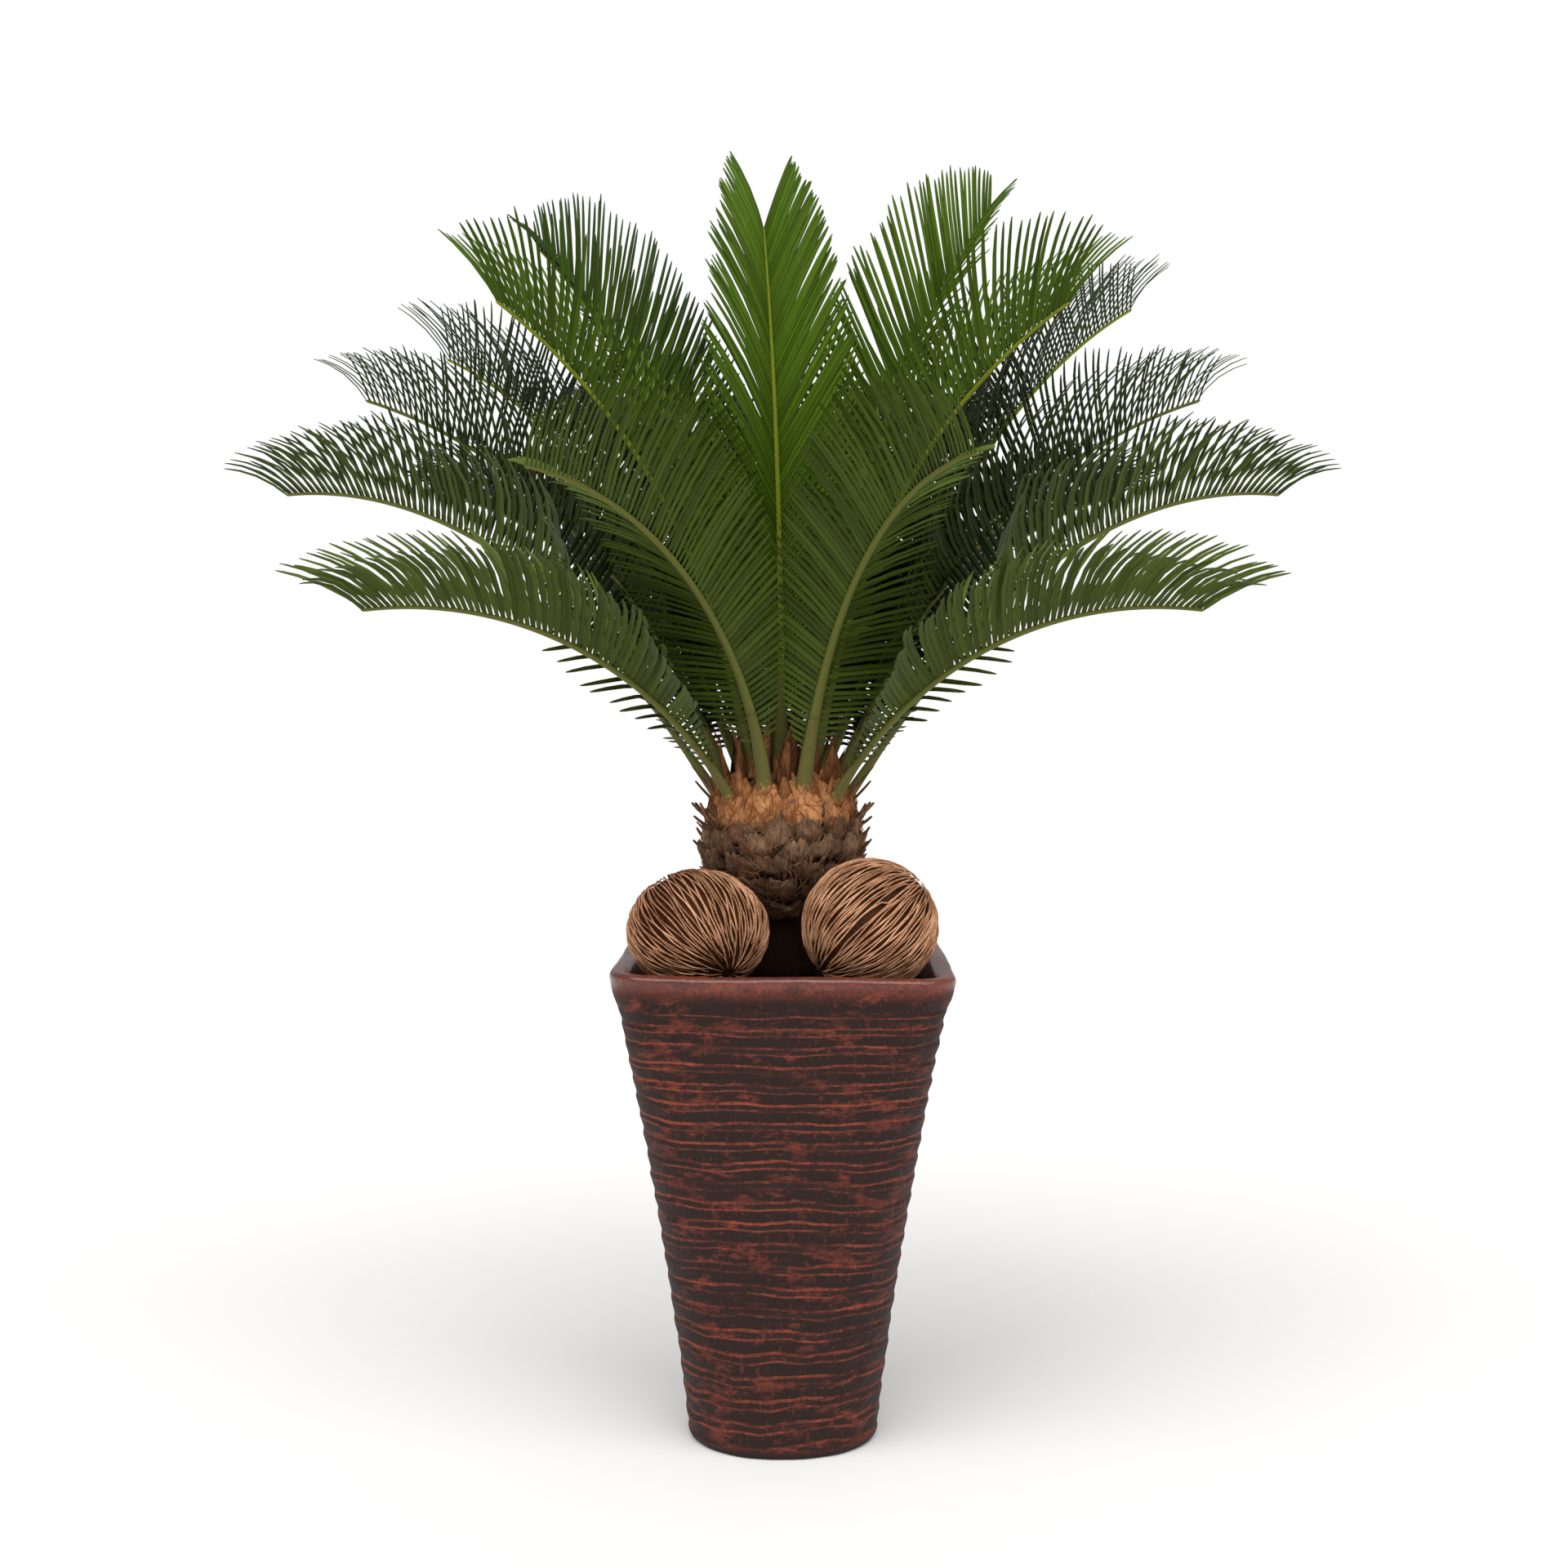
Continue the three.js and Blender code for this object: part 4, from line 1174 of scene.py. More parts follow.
def trunk_finishes(trunk):
    """The materials of each piece of the trunk."""
    grey, grey_dark, rust = tuple(trunk.grey), tuple(trunk.grey_dark), tuple(trunk.rust)
    tan, tan_dark = tuple(trunk.tan), tuple(trunk.tan_dark)
    dull_tan, duller_tan = blend(tan_dark, tan, 0.75), blend(grey_dark, tan_dark, 0.7)
    bract, bract_dark = tuple(trunk.bract), tuple(trunk.bract_dark)
    return {
        "trunk_core": [fibrous("trunk_bark", blend(grey_dark, grey, 0.4), grey_dark, painted_shade=True)],
        "trunk_scales": [
            fibrous("old_scale", grey, grey_dark, rust=rust, painted_shade=True),
            fibrous("old_scale_dark", blend(grey_dark, grey, 0.65), grey_dark, rust=rust, painted_shade=True),
        ],
        "trunk_woolly_bases": [
            fibrous("woolly_base", tan, tan_dark, stains=0.7, painted_shade=True),
            fibrous("woolly_base_dark", dull_tan, duller_tan, stains=0.6, painted_shade=True),
        ],
        "trunk_bracts": [
            fibrous("bract", bract, bract_dark),
            fibrous("bract_dark", blend(bract_dark, bract, 0.6), bract_dark),
            fibrous("bract_awn", blend(grey_dark, bract_dark, 0.6), grey_dark),
        ],
        "trunk_fibres": [
            fibrous("fibre_rust", rust, tan_dark),
            fibrous("fibre_grey", blend(grey, tan, 0.3), grey_dark),
            fibrous("fibre_dark", blend(grey_dark, grey, 0.5), grey_dark),
        ],
    }


def trunk_core_mesh(trunk):
    """The trunk under its leaf bases, rough all over and darker at its foot with painted shadow."""
    line = trunk_line(trunk, inset=CORE_INSET)
    mesh = spun_mesh("trunk_core", [(0, line[0][1])] + [tuple(point) for point in line], CORE_COLUMNS)
    points = mesh_points(mesh)
    outward = unit(points * (1, 1, 0) + (0, 0, 1e-4))
    points += CORE_ROUGHNESS * rough(points, 260, 6)[:, None] * outward
    points[:, 1] += trunk.y
    set_points(mesh, points)
    # Painted shadow at the trunk's foot.
    set_attribute(mesh, "tone", soft_step(points[:, 2], 0.345, 0.37))
    return mesh


# What each joined piece of the trunk is made of.
TRUNK_GROUPS = {
    "trunk_scales": (add_shields,),
    "trunk_woolly_bases": (add_woolly_bases,),
    "trunk_bracts": (add_bracts,),
    "trunk_fibres": (add_stubs, add_hairs),
}


class SAGO_OT_trunk(Operator):
    """Builds the trunk with its dry leaf bases, bracts and fibres"""

    bl_idname = "sago.trunk"
    bl_label = "Trunk"

    def execute(self, context):
        trunk = context.scene.sago_trunk
        skin = TrunkSkin(trunk)
        finishes = trunk_finishes(trunk)
        finished("trunk_core", trunk_core_mesh(trunk), finishes["trunk_core"], ["trunk"])
        for name, builders in TRUNK_GROUPS.items():
            bundle = Bundle()
            for builder in builders:
                builder(bundle, skin)
            mesh = bundle.mesh(name, smooth=name != "trunk_fibres")
            finished(name, mesh, finishes[name])
        return {"FINISHED"}


# ---- fronds ----

# The fronds of the CAD model. seat and heading are angles round the trunk from +X, in
# degrees: where the stalk stands on the dome, and which way the frond leans. reach is the
# seat's distance from the trunk's axis. The blade climbs at the angle rise at its foot and
# ends at the angle tip, and a high bend keeps it straight for longer. tint names the blade's
# colour. rows says how each of the two rows of leaflets differs from ROW, first the row on a
# left frond's left side. right holds what the right frond has of its own.
# The tint deep, on the rear fronds and on the far rows of low_side, mid_side and mid_back, is painted shade
# for the crown's shadow.
FROND_PAIRS = (
    dict(
        name="low_front", seat=222, reach=0.044, heading=209, rise=58, tip=-8, bend=1.05,
        length=0.302, tint="olive", splay=(84, 38, 1.6), last=0.76, loose=1.5,
        rows=(
            dict(low=-4, high=34, by=0.62, share=0.26, splay=(70, 38, 1.3), droop=0.11),
            dict(low=-5, high=50, share=0.26),
        ),
    ),
    dict(
        name="low_side", seat=181, reach=0.043, heading=175, rise=55, tip=-6, bend=1.95,
        length=0.383, tint="olive", splay=(84, 40, 1.8), last=0.48, slim=0.55, loose=1.5,
        rows=(
            dict(low=-16, high=40, after=0.24, by=0.46, splay=(80, 40, 2.2), sparse=0.3, droop=0.10),
            dict(high=58, tint="deep"),
        ),
    ),
    dict(
        name="low_back", seat=142, reach=0.043, heading=142, rise=56, tip=8, bend=1.6,
        length=0.370, tint="deep",
    ),
    dict(
        name="low_rear", seat=112, reach=0.043, heading=112, rise=55, tip=-8, bend=1.3,
        length=0.345, tint="deep",
    ),
    dict(
        name="mid_side", seat=166, reach=0.037, heading=167, rise=67, tip=17, bend=1.3,
        length=0.390, tint="green", splay=(84, 42, 1.8), last=0.46, slim=0.72, loose=2.2,
        rows=(dict(high=36, droop=0.10), dict(high=56, tint="deep")),
    ),
    dict(
        name="mid_back", seat=147, reach=0.031, heading=150, rise=63, tip=23, bend=2,
        length=0.405, tint="dusky", splay=(84, 42, 1.7), last=0.5, slim=0.68, loose=2.2,
        rows=(dict(high=42), dict(high=58, tint="deep")),
        right=dict(tip=28, bend=2.1, length=0.440, last=0.38),
    ),
    dict(
        name="mid_rear", seat=124, reach=0.034, heading=120, rise=67, tip=16, bend=1.3,
        length=0.385, tint="deep",
    ),
    dict(
        name="front", seat=253, reach=0.040, heading=238, rise=83, tip=3, bend=0.77,
        length=0.345, tint="front", splay=(84, 38, 1.3), last=0.5, sweep=0.1, stout=1,
        rows=(
            dict(low=15, high=45, share=0.25, peak=0.65, splay=(66, 58, 1)),
            dict(low=-12, high=20, by=0.6, share=0.2, peak=0.25, splay=(84, 50, 1.3), last=0.15),
        ),
        right=dict(seat=251, heading=244, rise=74, tip=1, bend=1.28, length=0.328),
    ),
    dict(
        name="high_side", seat=196, reach=0.022, heading=200, rise=79, tip=35, bend=1.35,
        length=0.362, tint="bright", splay=(86, 20, 1.8), last=0.58, slim=0.42, sweep=0.08,
        rows=(dict(share=0.26, peak=0.75, splay=(76, 30, 3)), dict(share=0.28)),
        right=dict(tip=32, bend=1.5),
    ),
    dict(
        name="high_back", seat=132, reach=0.021, heading=152, rise=79, tip=44, bend=1.3,
        length=0.419, tint="dusky", splay=(84, 8, 1.8), last=0.34, slim=0.6, sweep=0.05, loose=1.6,
        rows=(dict(high=16), dict(high=50, share=0.24, peak=0.72, splay=(68, 28, 1))),
        right=dict(heading=150, rise=81, tip=52, length=0.425, tint="bright", slim=0.5),
    ),
)
FROND_SINGLES = (
    dict(
        name="low_centre", seat=84, reach=0.043, heading=84, rise=56, tip=-5, bend=1.5,
        length=0.360, tint="deep",
    ),
    dict(
        name="mid_centre", seat=97, reach=0.033, heading=94, rise=68, tip=14, bend=1.4,
        length=0.385, tint="deep",
    ),
    dict(
        name="top", seat=97, reach=0.009, heading=104, rise=90, tip=72, bend=1.3,
        length=0.379, tint="bright", splay=(46, 24, 0.7), last=0.55, slim=0.1, sweep=0.05,
        rows=(dict(high=22, share=0.28), dict(high=22, share=0.28)),
    ),
)
TIERS = {
    "low": ("low_front", "low_side", "low_back", "low_rear", "low_centre"),
    "mid": ("mid_side", "mid_back", "mid_rear", "mid_centre", "front"),
    "high": ("high_side", "high_back", "top"),
}
STALK_SHARE = 0.1  # bare part of a frond, as a share of its length
LEAFLET_FIRST = 0.17  # first leaflet over the longest
LEAFLET_FALL = 2.2  # more keeps the leaflets long until nearer the tip
# What a frond has where the tables give it nothing of its own. splay is the angle of its
# leaflets to the rib at the first and the last, and its bend. last is the last leaflet over
# the longest, slim how much narrower the leaflets get towards the tip, sweep how far they
# curve, over their own length, loose how many times the least they stray, and stout how
# strongly its stalk swells at the foot.
FROND = dict(splay=(86, 24, 1.3), last=0.45, rows=({}, {}), slim=0.42, sweep=0.17, loose=1, stout=0.7)
# A row stands up from flat by the angle low up to the part after of the leaves, and by the
# angle high from the part by on. share is its longest leaflet over the frond's length, peak
# where on the leafy part the longest stand, and droop how far its leaflets arch, over their
# own length. Before the part sparse of the leaves only every second leaflet stands, and none
# in the first BARE_SHARE of that.
ROW = dict(low=5, high=50, after=0, by=0.4, share=0.25, peak=0.38, sparse=0, droop=0.06)
BARE_SHARE = 0.18
RIB_WIDTH = (0.009, 0.005, 0.0018)  # at the foot, at the first leaflet and at the tip
RIB_DEPTH = (0.008, 0.0045, 0.0018)
RIB_GROWS = 0.35  # how much stouter than its taper a rib gets among its leaflets
RIB_ABOVE, RIB_BELOW = 0.36, 0.5  # how far the rib rises and falls from its middle, over its depth
RIB_SAMPLES = 240
RIB_SIDES = 10
RIB_STATIONS = 52
STALK_STATIONS = 34
STALK_ROOT = -0.02  # where a stalk starts inside the trunk, as a share of its length
STALK_END = 0.16  # where the stalk's finish gives way to the rib's, as a share of the length
# How far a stalk stands out over its taper, at places above its foot in metres.
STALK_SWELL = ((0, 0.015, 0.033, 0.060, 0.1, 0.15), (0.39, 0.53, 0.88, 0.57, 0.24, 0))
SPINES_FROM = 0.03  # length of stalk without spines
# The blade's colours, and how strongly each shines. deep is painted shade for the rear fronds and the far
# rows, which lie in the crown's shadow.
TINTS = {"bright": 0.1, "green": 0.14, "olive": 0.14, "front": 0.15, "deep": 0.1, "dusky": 0.1}
SHADES = (0.8, 1.0, 1.18)  # how light the shades of each tint are, dealt out to the leaflets

# Places along a leaflet and its width there, as shares of its length and its full width.
LEAFLET_STATIONS = np.array([0, 0.015, 0.05, 0.22, 0.5, 0.76, 0.92, 0.985])
LEAFLET_OUTLINE = np.array([0.5, 0.7, 0.95, 1.0, 0.98, 0.86, 0.62, 0.3])
# Where a leaflet's foot lies: how far beside the rib's middle, over its width, and how far over
# it, over its depth.
FOOT_BESIDE, FOOT_OVER = 0.4, 0.18
FULL_WIDTH_FROM = 0.22  # place on the leafy part before which the leaflets are narrower
# Painted light on a leaflet: how light it is along its middle, with painted shade towards its foot by the
# rib, and across each ring: at its two edges, which take painted shade, one darker than the other as if
# half lit, with the keel below and the keel above between them; the keel above takes a painted highlight.
BLADE_PAINTED_SHADE = np.array([0.6, 0.65, 0.75, 0.9, 1.0, 1.0, 1.0, 1.0])
RING_PAINTED_LIGHT = (0, 0.5, 0.25, 1)
# How far leaflets stray: the angles in degrees, and the rest over their own measure.
SPLAY_STRAY = 0.8
FOLD_STRAY = 1.7
ROLL, ROLL_STRAY = 6, 4
LENGTH_STRAY = 0.03
SWEEP_STRAY = 0.02
WIDTH_STRAY = 0.07


def completed(frond, node, mirrored=False):
    """A frond with its two rows in full. The rows of a right frond change sides."""
    full = FROND | frond | {"node": node}
    given = {"tint": frond["tint"], "splay": full["splay"], "last": full["last"]}
    rows = [ROW | given | row for row in full["rows"]]
    if mirrored:
        full |= {"seat": 180 - frond["seat"], "heading": 180 - frond["heading"]}
        rows.reverse()
    return full | {"rows": rows}


def all_fronds():
    """Every frond of both tables in full, with the name of its CAD node."""
    fronds = []
    for pair in FROND_PAIRS:
        left = {key: given for key, given in pair.items() if key != "right"}
        right = left | pair.get("right", {})
        fronds.append(completed(left, f"frond_{left['name']}_left"))
        fronds.append(completed(right, f"frond_{left['name']}_right", mirrored=True))
    return fronds + [completed(single, f"frond_{single['name']}") for single in FROND_SINGLES]


class Rib:
    """A frond's rib: points and directions at any share of its length."""

    def __init__(self, frond, trunk):
        self.frond = frond
        seat, self.heading = math.radians(frond["seat"]), math.radians(frond["heading"])
        climb = math.acos(frond["reach"] / trunk.dome_radius)
        foot = np.array([
            frond["reach"] * math.cos(seat),
            trunk.y + frond["reach"] * math.sin(seat),
            trunk.dome_base + trunk.dome_height * math.sin(climb),
        ])
        out = math.cos(climb) / trunk.dome_radius
        normal = np.array([out * math.cos(seat), out * math.sin(seat), math.sin(climb) / trunk.dome_height])
        self.aside = np.array([-math.sin(self.heading), math.cos(self.heading), 0])
        self.shares = np.linspace(0, 1, RIB_SAMPLES + 1)
        middles = (self.shares[:-1] + self.shares[1:]) / 2
        steps = self.ahead(middles) * frond["length"] / RIB_SAMPLES
        self.points = foot + CLEARANCE * unit(normal) + np.vstack([np.zeros(3), np.cumsum(steps, axis=0)])

    def ahead(self, share):
        """The direction towards the tip."""
        frond = self.frond
        bent = np.clip(share, 0, 1) ** frond["bend"]
        climb = np.radians(frond["rise"] + (frond["tip"] - frond["rise"]) * bent)
        flat = np.cos(climb)
        x, y = flat * math.cos(self.heading), flat * math.sin(self.heading)
        return np.stack([x, y, np.sin(climb)], axis=-1)

    def up(self, share):
        """The direction out of the upper face."""
        return np.cross(self.ahead(share), self.aside)

    def at(self, share):
        """A point of the rib, or of its straight root inside the trunk where share is below 0."""
        inside = np.stack([np.interp(share, self.shares, column) for column in self.points.T], axis=-1)
        before = np.minimum(share, 0)[..., None] * self.frond["length"]
        return inside + before * self.ahead(np.asarray(share))


def taper(sizes, share):
    """The rib's width or depth at a share of its length."""
    return np.interp(share, [0, STALK_SHARE, 1], sizes)


def leaflet_lengths(frond, row, leafy):
    """Lengths of a row's leaflets at places on the leafy part, from 0 to 1."""
    peak = row["peak"]
    rising = LEAFLET_FIRST + (1 - LEAFLET_FIRST) * np.sin(np.pi / 2 * np.clip(leafy / peak, 0, 1))
    fall = np.clip((leafy - peak) / (1 - peak), 0, 1) ** LEAFLET_FALL
    return frond["length"] * row["share"] * np.where(leafy < peak, rising, 1 + (row["last"] - 1) * fall)


def clumped(draw, number):
    """Random numbers that neighbours share a part of, so that leaflets close up and part in groups."""
    loose = draw.normal(0, 1, number + 2)
    return 0.6 * (loose[:-2] + loose[1:-1] + loose[2:]) / math.sqrt(3) + 0.55 * draw.normal(0, 1, number)


def add_leaflets(bundle, rib, settings, draw):
    """Both rows of one frond's leaflets. Each is a keeled blade whose foot lies along the rib."""
    frond = rib.frond
    number = round(frond["length"] * (1 - STALK_SHARE) / settings.spacing)
    for side, row in zip((1, -1), frond["rows"]):
        first, last, bend = row["splay"]
        leafy = (np.arange(number) + 0.5 + 0.25 * side) / number
        share = STALK_SHARE + leafy * (1 - STALK_SHARE)
        opened = first + (last - first) * leafy**bend
        splay = np.radians(opened + SPLAY_STRAY * frond["loose"] * clumped(draw, number))
        raised = row["low"] + (row["high"] - row["low"]) * soft_step(leafy, row["after"], row["by"])
        fold = np.radians(raised + FOLD_STRAY * frond["loose"] * clumped(draw, number))
        ahead, up = rib.ahead(share), rib.up(share)
        aside = np.broadcast_to(rib.aside, ahead.shape) * side
        uneven = 1 + LENGTH_STRAY * draw.normal(0, 1, number)
        reach = (leaflet_lengths(frond, row, leafy) * uneven)[:, None]
        out = unit(
            np.cos(splay)[:, None] * ahead
            + (np.sin(splay) * np.cos(fold))[:, None] * aside
            + (np.sin(splay) * np.sin(fold))[:, None] * up
        )
        centre = rib.at(share)
        beside = aside * taper(RIB_WIDTH, share)[:, None] * FOOT_BESIDE
        foot = centre + beside + up * taper(RIB_DEPTH, share)[:, None] * FOOT_OVER
        tip = centre + out * reach
        span = tip - foot
        line = unit(span)
        flat = unit(ahead - line * np.sum(ahead * line, axis=1)[:, None])
        face = np.cross(line, flat)
        face *= np.sign(np.sum(face * up, axis=1))[:, None]
        roll = np.radians(ROLL + ROLL_STRAY * draw.normal(0, 1, number))[:, None]
        turned = face * np.cos(roll) + flat * np.sin(roll)
        flat, face = flat * np.cos(roll) - face * np.sin(roll), turned
        s = LEAFLET_STATIONS[None, :, None]
        sweep = frond["sweep"] + SWEEP_STRAY * draw.normal(0, 1, (number, 1, 1))
        bow = (s * s - s) * reach[:, None] * sweep
        arch = (s - s * s) * reach[:, None] * row["droop"] * 4
        path = foot[:, None] + span[:, None] * s + bow * flat[:, None] + arch * face[:, None]
        slim = (1 - frond["slim"] * leafy**1.2) * (0.55 + 0.45 * np.clip(leafy / FULL_WIDTH_FROM, 0, 1))
        broad = settings.width * slim * (1 + WIDTH_STRAY * draw.normal(0, 1, number))
        half = broad[:, None] / 2 * LEAFLET_OUTLINE[None]
        rings = blade_rings(path, half[..., None], flat[:, None], face[:, None], settings)
        shade = list(TINTS).index(row["tint"]) * len(SHADES) + draw.integers(0, len(SHADES), number)
        # Painted light over each leaflet: shade at its foot and its edges, a highlight on its keel, and 0.8
        # at its tip.
        tone = np.outer(BLADE_PAINTED_SHADE, RING_PAINTED_LIGHT)
        one, two, three = rings[0, 0, :3]
        if np.sum(np.cross(two - one, three - two) * line[0]) < 0:
            rings, tone = rings[:, :, ::-1], tone[:, ::-1]
        second = (np.arange(number) % 2 == 0) & (leafy > BARE_SHARE * row["sparse"])
        kept = (leafy > row["sparse"]) | second
        bundle.add_spikes(rings[kept], tip[kept], shade[kept], np.append(tone, 0.8))


def blade_rings(path, half, flat, face, settings):
    """Rings of four points: two edges, a keel above and a keel below."""
    rise = half * 2 * settings.keel
    edge = face * -rise * 0.5
    above = path + face * (rise * 0.5 + settings.thickness * 0.5)
    below = path + face * (rise * 0.5 - settings.thickness * 0.5) - face * 0.0001
    return np.stack([path - flat * half + edge, below, path + flat * half + edge, above], axis=2)


def add_rib(bundle, rib, shares, finish, wool=0.0):
    """A stretch of a rib with a rounded section, flatter on its upper face. Its tone falls from 1 to
    0 over about the length wool from its foot."""
    above = shares * rib.frond["length"]
    wide = 1 + rib.frond["stout"] * np.interp(above, *STALK_SWELL)
    grown = 1 + RIB_GROWS * soft_step(shares, STALK_SHARE, 0.6)
    width = taper(RIB_WIDTH, shares) * wide * grown
    depth = taper(RIB_DEPTH, shares) * (1 + (wide - 1) * 0.5) * grown
    turn = 2 * math.pi * (np.arange(RIB_SIDES) + 0.5) / RIB_SIDES
    rise = np.where(np.sin(turn) > 0, RIB_ABOVE, RIB_BELOW) * np.sin(turn)
    across = rib.aside * width[:, None, None] * 0.5 * np.cos(turn)[None, :, None]
    upward = (rib.up(shares) * depth[:, None])[:, None] * rise[None, :, None]
    rings = rib.at(shares)[:, None] + across + upward
    tip = rib.at(shares[-1]) + rib.ahead(shares[-1]) * 0.002
    tone = 1.0
    if wool:
        woolly = 1 - soft_step(above, -0.4 * wool, 0.9 * wool)
        tone = np.append(np.repeat(woolly, RIB_SIDES), 0)
    bundle.add_spike(rings, tip, finish, tone)


def add_spines(bundle, rib, settings, draw):
    """Short spines on both edges of the stalk, longer towards the leaflets."""
    length = rib.frond["length"]
    places = np.arange(SPINES_FROM, length * STALK_SHARE * 1.02, settings.spine_spacing)
    for side in (1, -1):
        for place in places:
            share = (place + draw.uniform(-0.001, 0.001)) / length
            grown = np.clip(share / STALK_SHARE, 0.2, 1)
            ahead, up = rib.ahead(share), rib.up(share)
            out = unit(rib.aside * side * 0.7 + up * 0.7 + ahead * draw.uniform(0.1, 0.5))
            wide = taper(RIB_WIDTH, share) * (1 + FROND["stout"] * np.interp(place, *STALK_SWELL))
            edge = rib.at(np.array(share)) + rib.aside * side * wide * FOOT_BESIDE
            foot = edge + up * taper(RIB_DEPTH, share) * 0.2
            reach = settings.spine * grown * draw.uniform(0.7, 1.2) + 0.001
            path = foot + out * reach * np.array([0, 0.4, 0.75])[:, None]
            rings = tube_rings(path, 0.0009 * np.array([1, 0.7, 0.4]), 4, flat=0.6, across=rib.aside)
            bundle.add_spike(rings, foot + out * reach, 0)


def blade_finish(name, tone, sheen):
    """A waxy blade with painted light: lighter along its middle than at its edges, with a painted highlight
    on its keel, painted shade at its edges and its foot, and a faint fleck.
    """
    shader = Shader(name)
    fleck = shader.noise(350, detail=2)
    across = shader.attribute("tone") * 0.9 + fleck * 0.2 - 0.05
    # Painted shade at the edges, at 0.6 of the tint, and a painted highlight on the keel, at 1.45 of it.
    shade = shader.mix(across, blend((0, 0, 0), tone, 0.6), tuple(min(1, part * 1.45) for part in tone))
    return shader.finish(base_color=shade, roughness=fleck * 0.16 + 0.4, specular_ior_level=sheen)


def blade_finishes(settings):
    """Every shade of every tint, in the order in which the leaflets count them."""
    finishes = []
    for tint, sheen in TINTS.items():
        tone = tuple(getattr(settings, tint))
        for number, lightness in enumerate(SHADES):
            lit = tuple(min(1, part * lightness) for part in tone)
            finishes.append(blade_finish(f"blade_{tint}_{number + 1}", lit, sheen))
    return finishes


def rib_finish(name, tone, speck):
    """A smooth rib with fine specks."""
    shader = Shader(name)
    fleck = shader.noise(700, (1, 1, 0.5), detail=3, roughness=0.7)
    shade = shader.mix(fleck.step(0.5, 0.75) * 0.45, tone, speck)
    relief = shader.bump(fleck, 0.0003)
    return shader.finish(base_color=shade, roughness=0.55, specular_ior_level=0.12, normal=relief)


def stalk_finish(settings, trunk):
    """Green stalk that turns woolly and tan towards its foot."""
    shader = Shader("stalk")
    fleck = shader.noise(620, (1, 1, 0.5), detail=4, roughness=0.7)
    wool = shader.attribute("tone")
    speck = fleck.step(0.42, 0.66) * (wool * 0.6 + 0.5)
    green = shader.mix(speck, tuple(settings.stalk), tuple(settings.stalk_speck))
    fibre = shader.noise(700, (1, 1, 0.2), detail=4, roughness=0.7)
    tan = shader.mix(fibre.step(0.35, 0.7), tuple(trunk.tan_dark), tuple(trunk.tan))
    edge = (wool + (fleck - 0.5) * 1.6).step(0.38, 0.8)
    return shader.finish(
        base_color=shader.mix(edge, green, tan),
        roughness=wool * 0.3 + 0.55,
        specular_ior_level=0.12,
        normal=shader.bump(fibre, 0.0008),
    )


class SAGO_OT_ribs(Operator):
    """Builds the stalks, their spines and the ribs of the fronds"""

    bl_idname = "sago.ribs"
    bl_label = "Stalks and ribs"

    def execute(self, context):
        settings, trunk = context.scene.sago_frond, context.scene.sago_trunk
        stalks, ribs, spines = Bundle(), Bundle(), Bundle()
        draw = np.random.default_rng(41)
        for frond in all_fronds():
            rib = Rib(frond, trunk)
            add_rib(stalks, rib, np.linspace(STALK_ROOT, STALK_END, STALK_STATIONS), 0, settings.wool)
            finish = 0 if frond["tint"] in ("bright", "dusky") else 1
            add_rib(ribs, rib, np.linspace(STALK_END - 0.002, 0.995, RIB_STATIONS), finish)
            add_spines(spines, rib, settings, draw)
        finished("stalks", stalks.mesh("stalks", True), [stalk_finish(settings, trunk)])
        speck = tuple(settings.stalk_speck)
        finishes = [
            rib_finish("rib_bright", tuple(settings.rib_bright), tuple(settings.green)),
            rib_finish("rib_olive", tuple(settings.rib_olive), speck),
        ]
        finished("ribs", ribs.mesh("ribs", True), finishes)
        spine = rib_finish("spine", blend(settings.stalk, settings.stalk_speck, 0.4), speck)
        finished("spines", spines.mesh("spines", False), [spine])
        return {"FINISHED"}


class SAGO_OT_leaflets(Operator):
    """Builds the leaflets of all fronds, one piece for each tier of the crown"""

    bl_idname = "sago.leaflets"
    bl_label = "Leaflets"

    def execute(self, context):
        settings, trunk = context.scene.sago_frond, context.scene.sago_trunk
        finishes = blade_finishes(settings)
        draw = np.random.default_rng(53)
        for tier, names in TIERS.items():
            bundle = Bundle()
            fronds = [frond for frond in all_fronds() if frond["name"] in names]
            for frond in fronds:
                add_leaflets(bundle, Rib(frond, trunk), settings, draw)
            mesh = bundle.mesh(f"leaflets_{tier}", False)
            finished(f"leaflets_{tier}", mesh, finishes, [frond["node"] for frond in fronds])
        return {"FINISHED"}


# ---- stage ----

CAMERA_PLACE = (0.0008, -1.540, 0.514)
CAMERA_DROP = math.atan(132 / 2800)  # how far it looks down
CAMERA_LENS = 52.5  # in millimetres, as is the sensor's width
CAMERA_SENSOR = 36
FLOOR_RADIUS = 14
FLOOR_SIDES = 96
# The setting that holds the strength of each soft light, its height and its turn from the
# front towards +X, in degrees, and how wide it looks.
LIGHTS = (("key", 54, -30, 52), ("fill", 46, 36, 52), ("top", 80, 160, 60))


def plain_floor(stage):
    """A pale matt floor."""
    shader = Shader("floor")
    shade = shader.noise(3, detail=2)
    tone = shader.mix(shade, tuple(part * 0.99 for part in stage.floor), tuple(stage.floor))
    return shader.finish(base_color=tone, roughness=0.85, specular_ior_level=0.1)


def surroundings(stage):
    """A plain world: white where the camera looks, and softer as a light."""
    world = bpy.data.worlds.new("surroundings")
    world.use_nodes = True
    nodes, links = world.node_tree.nodes, world.node_tree.links
    background = nodes["Background"]
    background.inputs["Color"].default_value = (1, 1, 1, 1)
    seen = nodes.new("ShaderNodeLightPath")
    strength = nodes.new("ShaderNodeMapRange")
    strength.inputs["To Min"].default_value = stage.sky
    strength.inputs["To Max"].default_value = 1.0
    links.new(seen.outputs["Is Camera Ray"], strength.inputs["Value"])
    links.new(strength.outputs[0], background.inputs["Strength"])
    return world


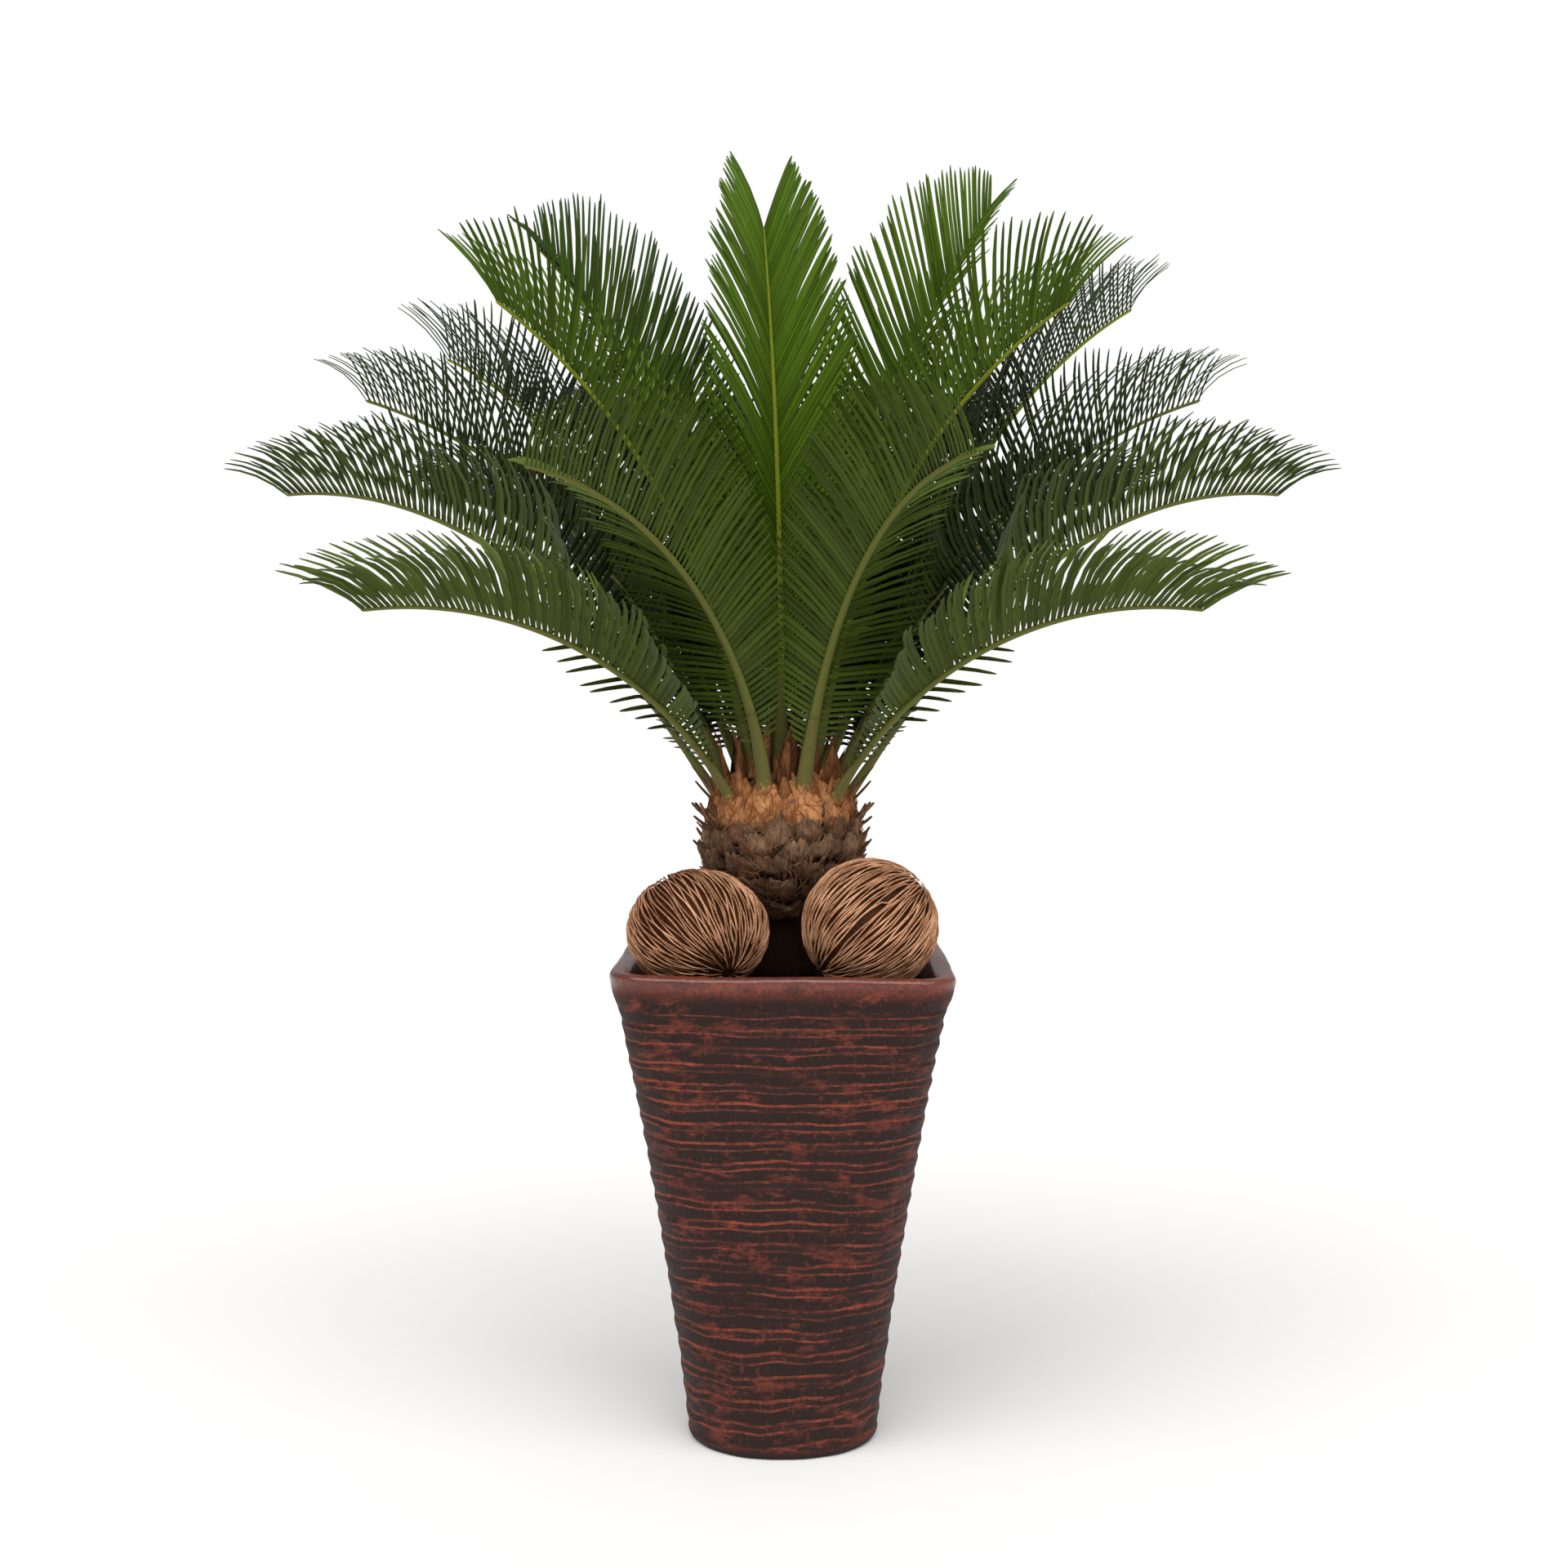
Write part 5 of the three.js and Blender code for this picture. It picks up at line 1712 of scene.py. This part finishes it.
class SAGO_OT_stage(Operator):
    """Builds the floor, the soft lights and the camera"""

    bl_idname = "sago.stage"
    bl_label = "Stage"

    def execute(self, context):
        scene, stage = context.scene, context.scene.sago_stage
        form = bmesh.new()
        bmesh.ops.create_circle(form, cap_ends=True, segments=FLOOR_SIDES, radius=FLOOR_RADIUS)
        mesh = bpy.data.meshes.new("floor")
        form.to_mesh(mesh)
        form.free()
        mesh.materials.append(plain_floor(stage))
        floor = bpy.data.objects.new("floor", mesh)
        scene.collection.objects.link(floor)
        for name, climb, turn, width in LIGHTS:
            lamp = bpy.data.lights.new(f"light_{name}", "SUN")
            lamp.energy = getattr(stage, name)
            lamp.angle = math.radians(width)
            light = bpy.data.objects.new(f"light_{name}", lamp)
            light.rotation_euler = (math.radians(90 - climb), 0, math.radians(turn))
            scene.collection.objects.link(light)
        scene.world = surroundings(stage)
        scene.view_settings.view_transform = "Standard"
        lens = bpy.data.cameras.new("camera")
        lens.lens = CAMERA_LENS
        lens.sensor_width = CAMERA_SENSOR
        camera = bpy.data.objects.new("camera", lens)
        camera.location = CAMERA_PLACE
        camera.rotation_euler = (math.pi / 2 - CAMERA_DROP, 0, 0)
        scene.collection.objects.link(camera)
        scene.camera = camera
        return {"FINISHED"}


# ---- add-on ----

SETTINGS = {
    "sago_pot": SagoPotSettings,
    "sago_soil": SagoSoilSettings,
    "sago_ball": SagoBallSettings,
    "sago_trunk": SagoTrunkSettings,
    "sago_frond": SagoFrondSettings,
    "sago_stage": SagoStageSettings,
}
OPERATORS = (
    SAGO_OT_pot,
    SAGO_OT_soil,
    SAGO_OT_seed_balls,
    SAGO_OT_trunk,
    SAGO_OT_ribs,
    SAGO_OT_leaflets,
    SAGO_OT_stage,
)


class SAGO_PT_panel(Panel):
    """Lists the pieces of the plant and their settings"""

    bl_idname = "SAGO_PT_panel"
    bl_label = "Sago palm"
    bl_space_type = "VIEW_3D"
    bl_region_type = "UI"
    bl_category = "Sago palm"

    def draw(self, context):
        for operator in OPERATORS:
            self.layout.operator(operator.bl_idname)
        for name, group in SETTINGS.items():
            box = self.layout.box()
            box.label(text=name.removeprefix("sago_").title())
            for setting in group.__annotations__:
                box.prop(getattr(context.scene, name), setting)


def register():
    for group in (*SETTINGS.values(), *OPERATORS, SAGO_PT_panel):
        bpy.utils.register_class(group)
    for name, group in SETTINGS.items():
        setattr(bpy.types.Scene, name, PointerProperty(type=group))


def unregister():
    for name in SETTINGS:
        delattr(bpy.types.Scene, name)
    for group in reversed((*SETTINGS.values(), *OPERATORS, SAGO_PT_panel)):
        bpy.utils.unregister_class(group)


def main():
    register()
    for operator in OPERATORS:
        getattr(bpy.ops.sago, operator.bl_idname.removeprefix("sago."))()


if __name__ == "__main__":
    main()
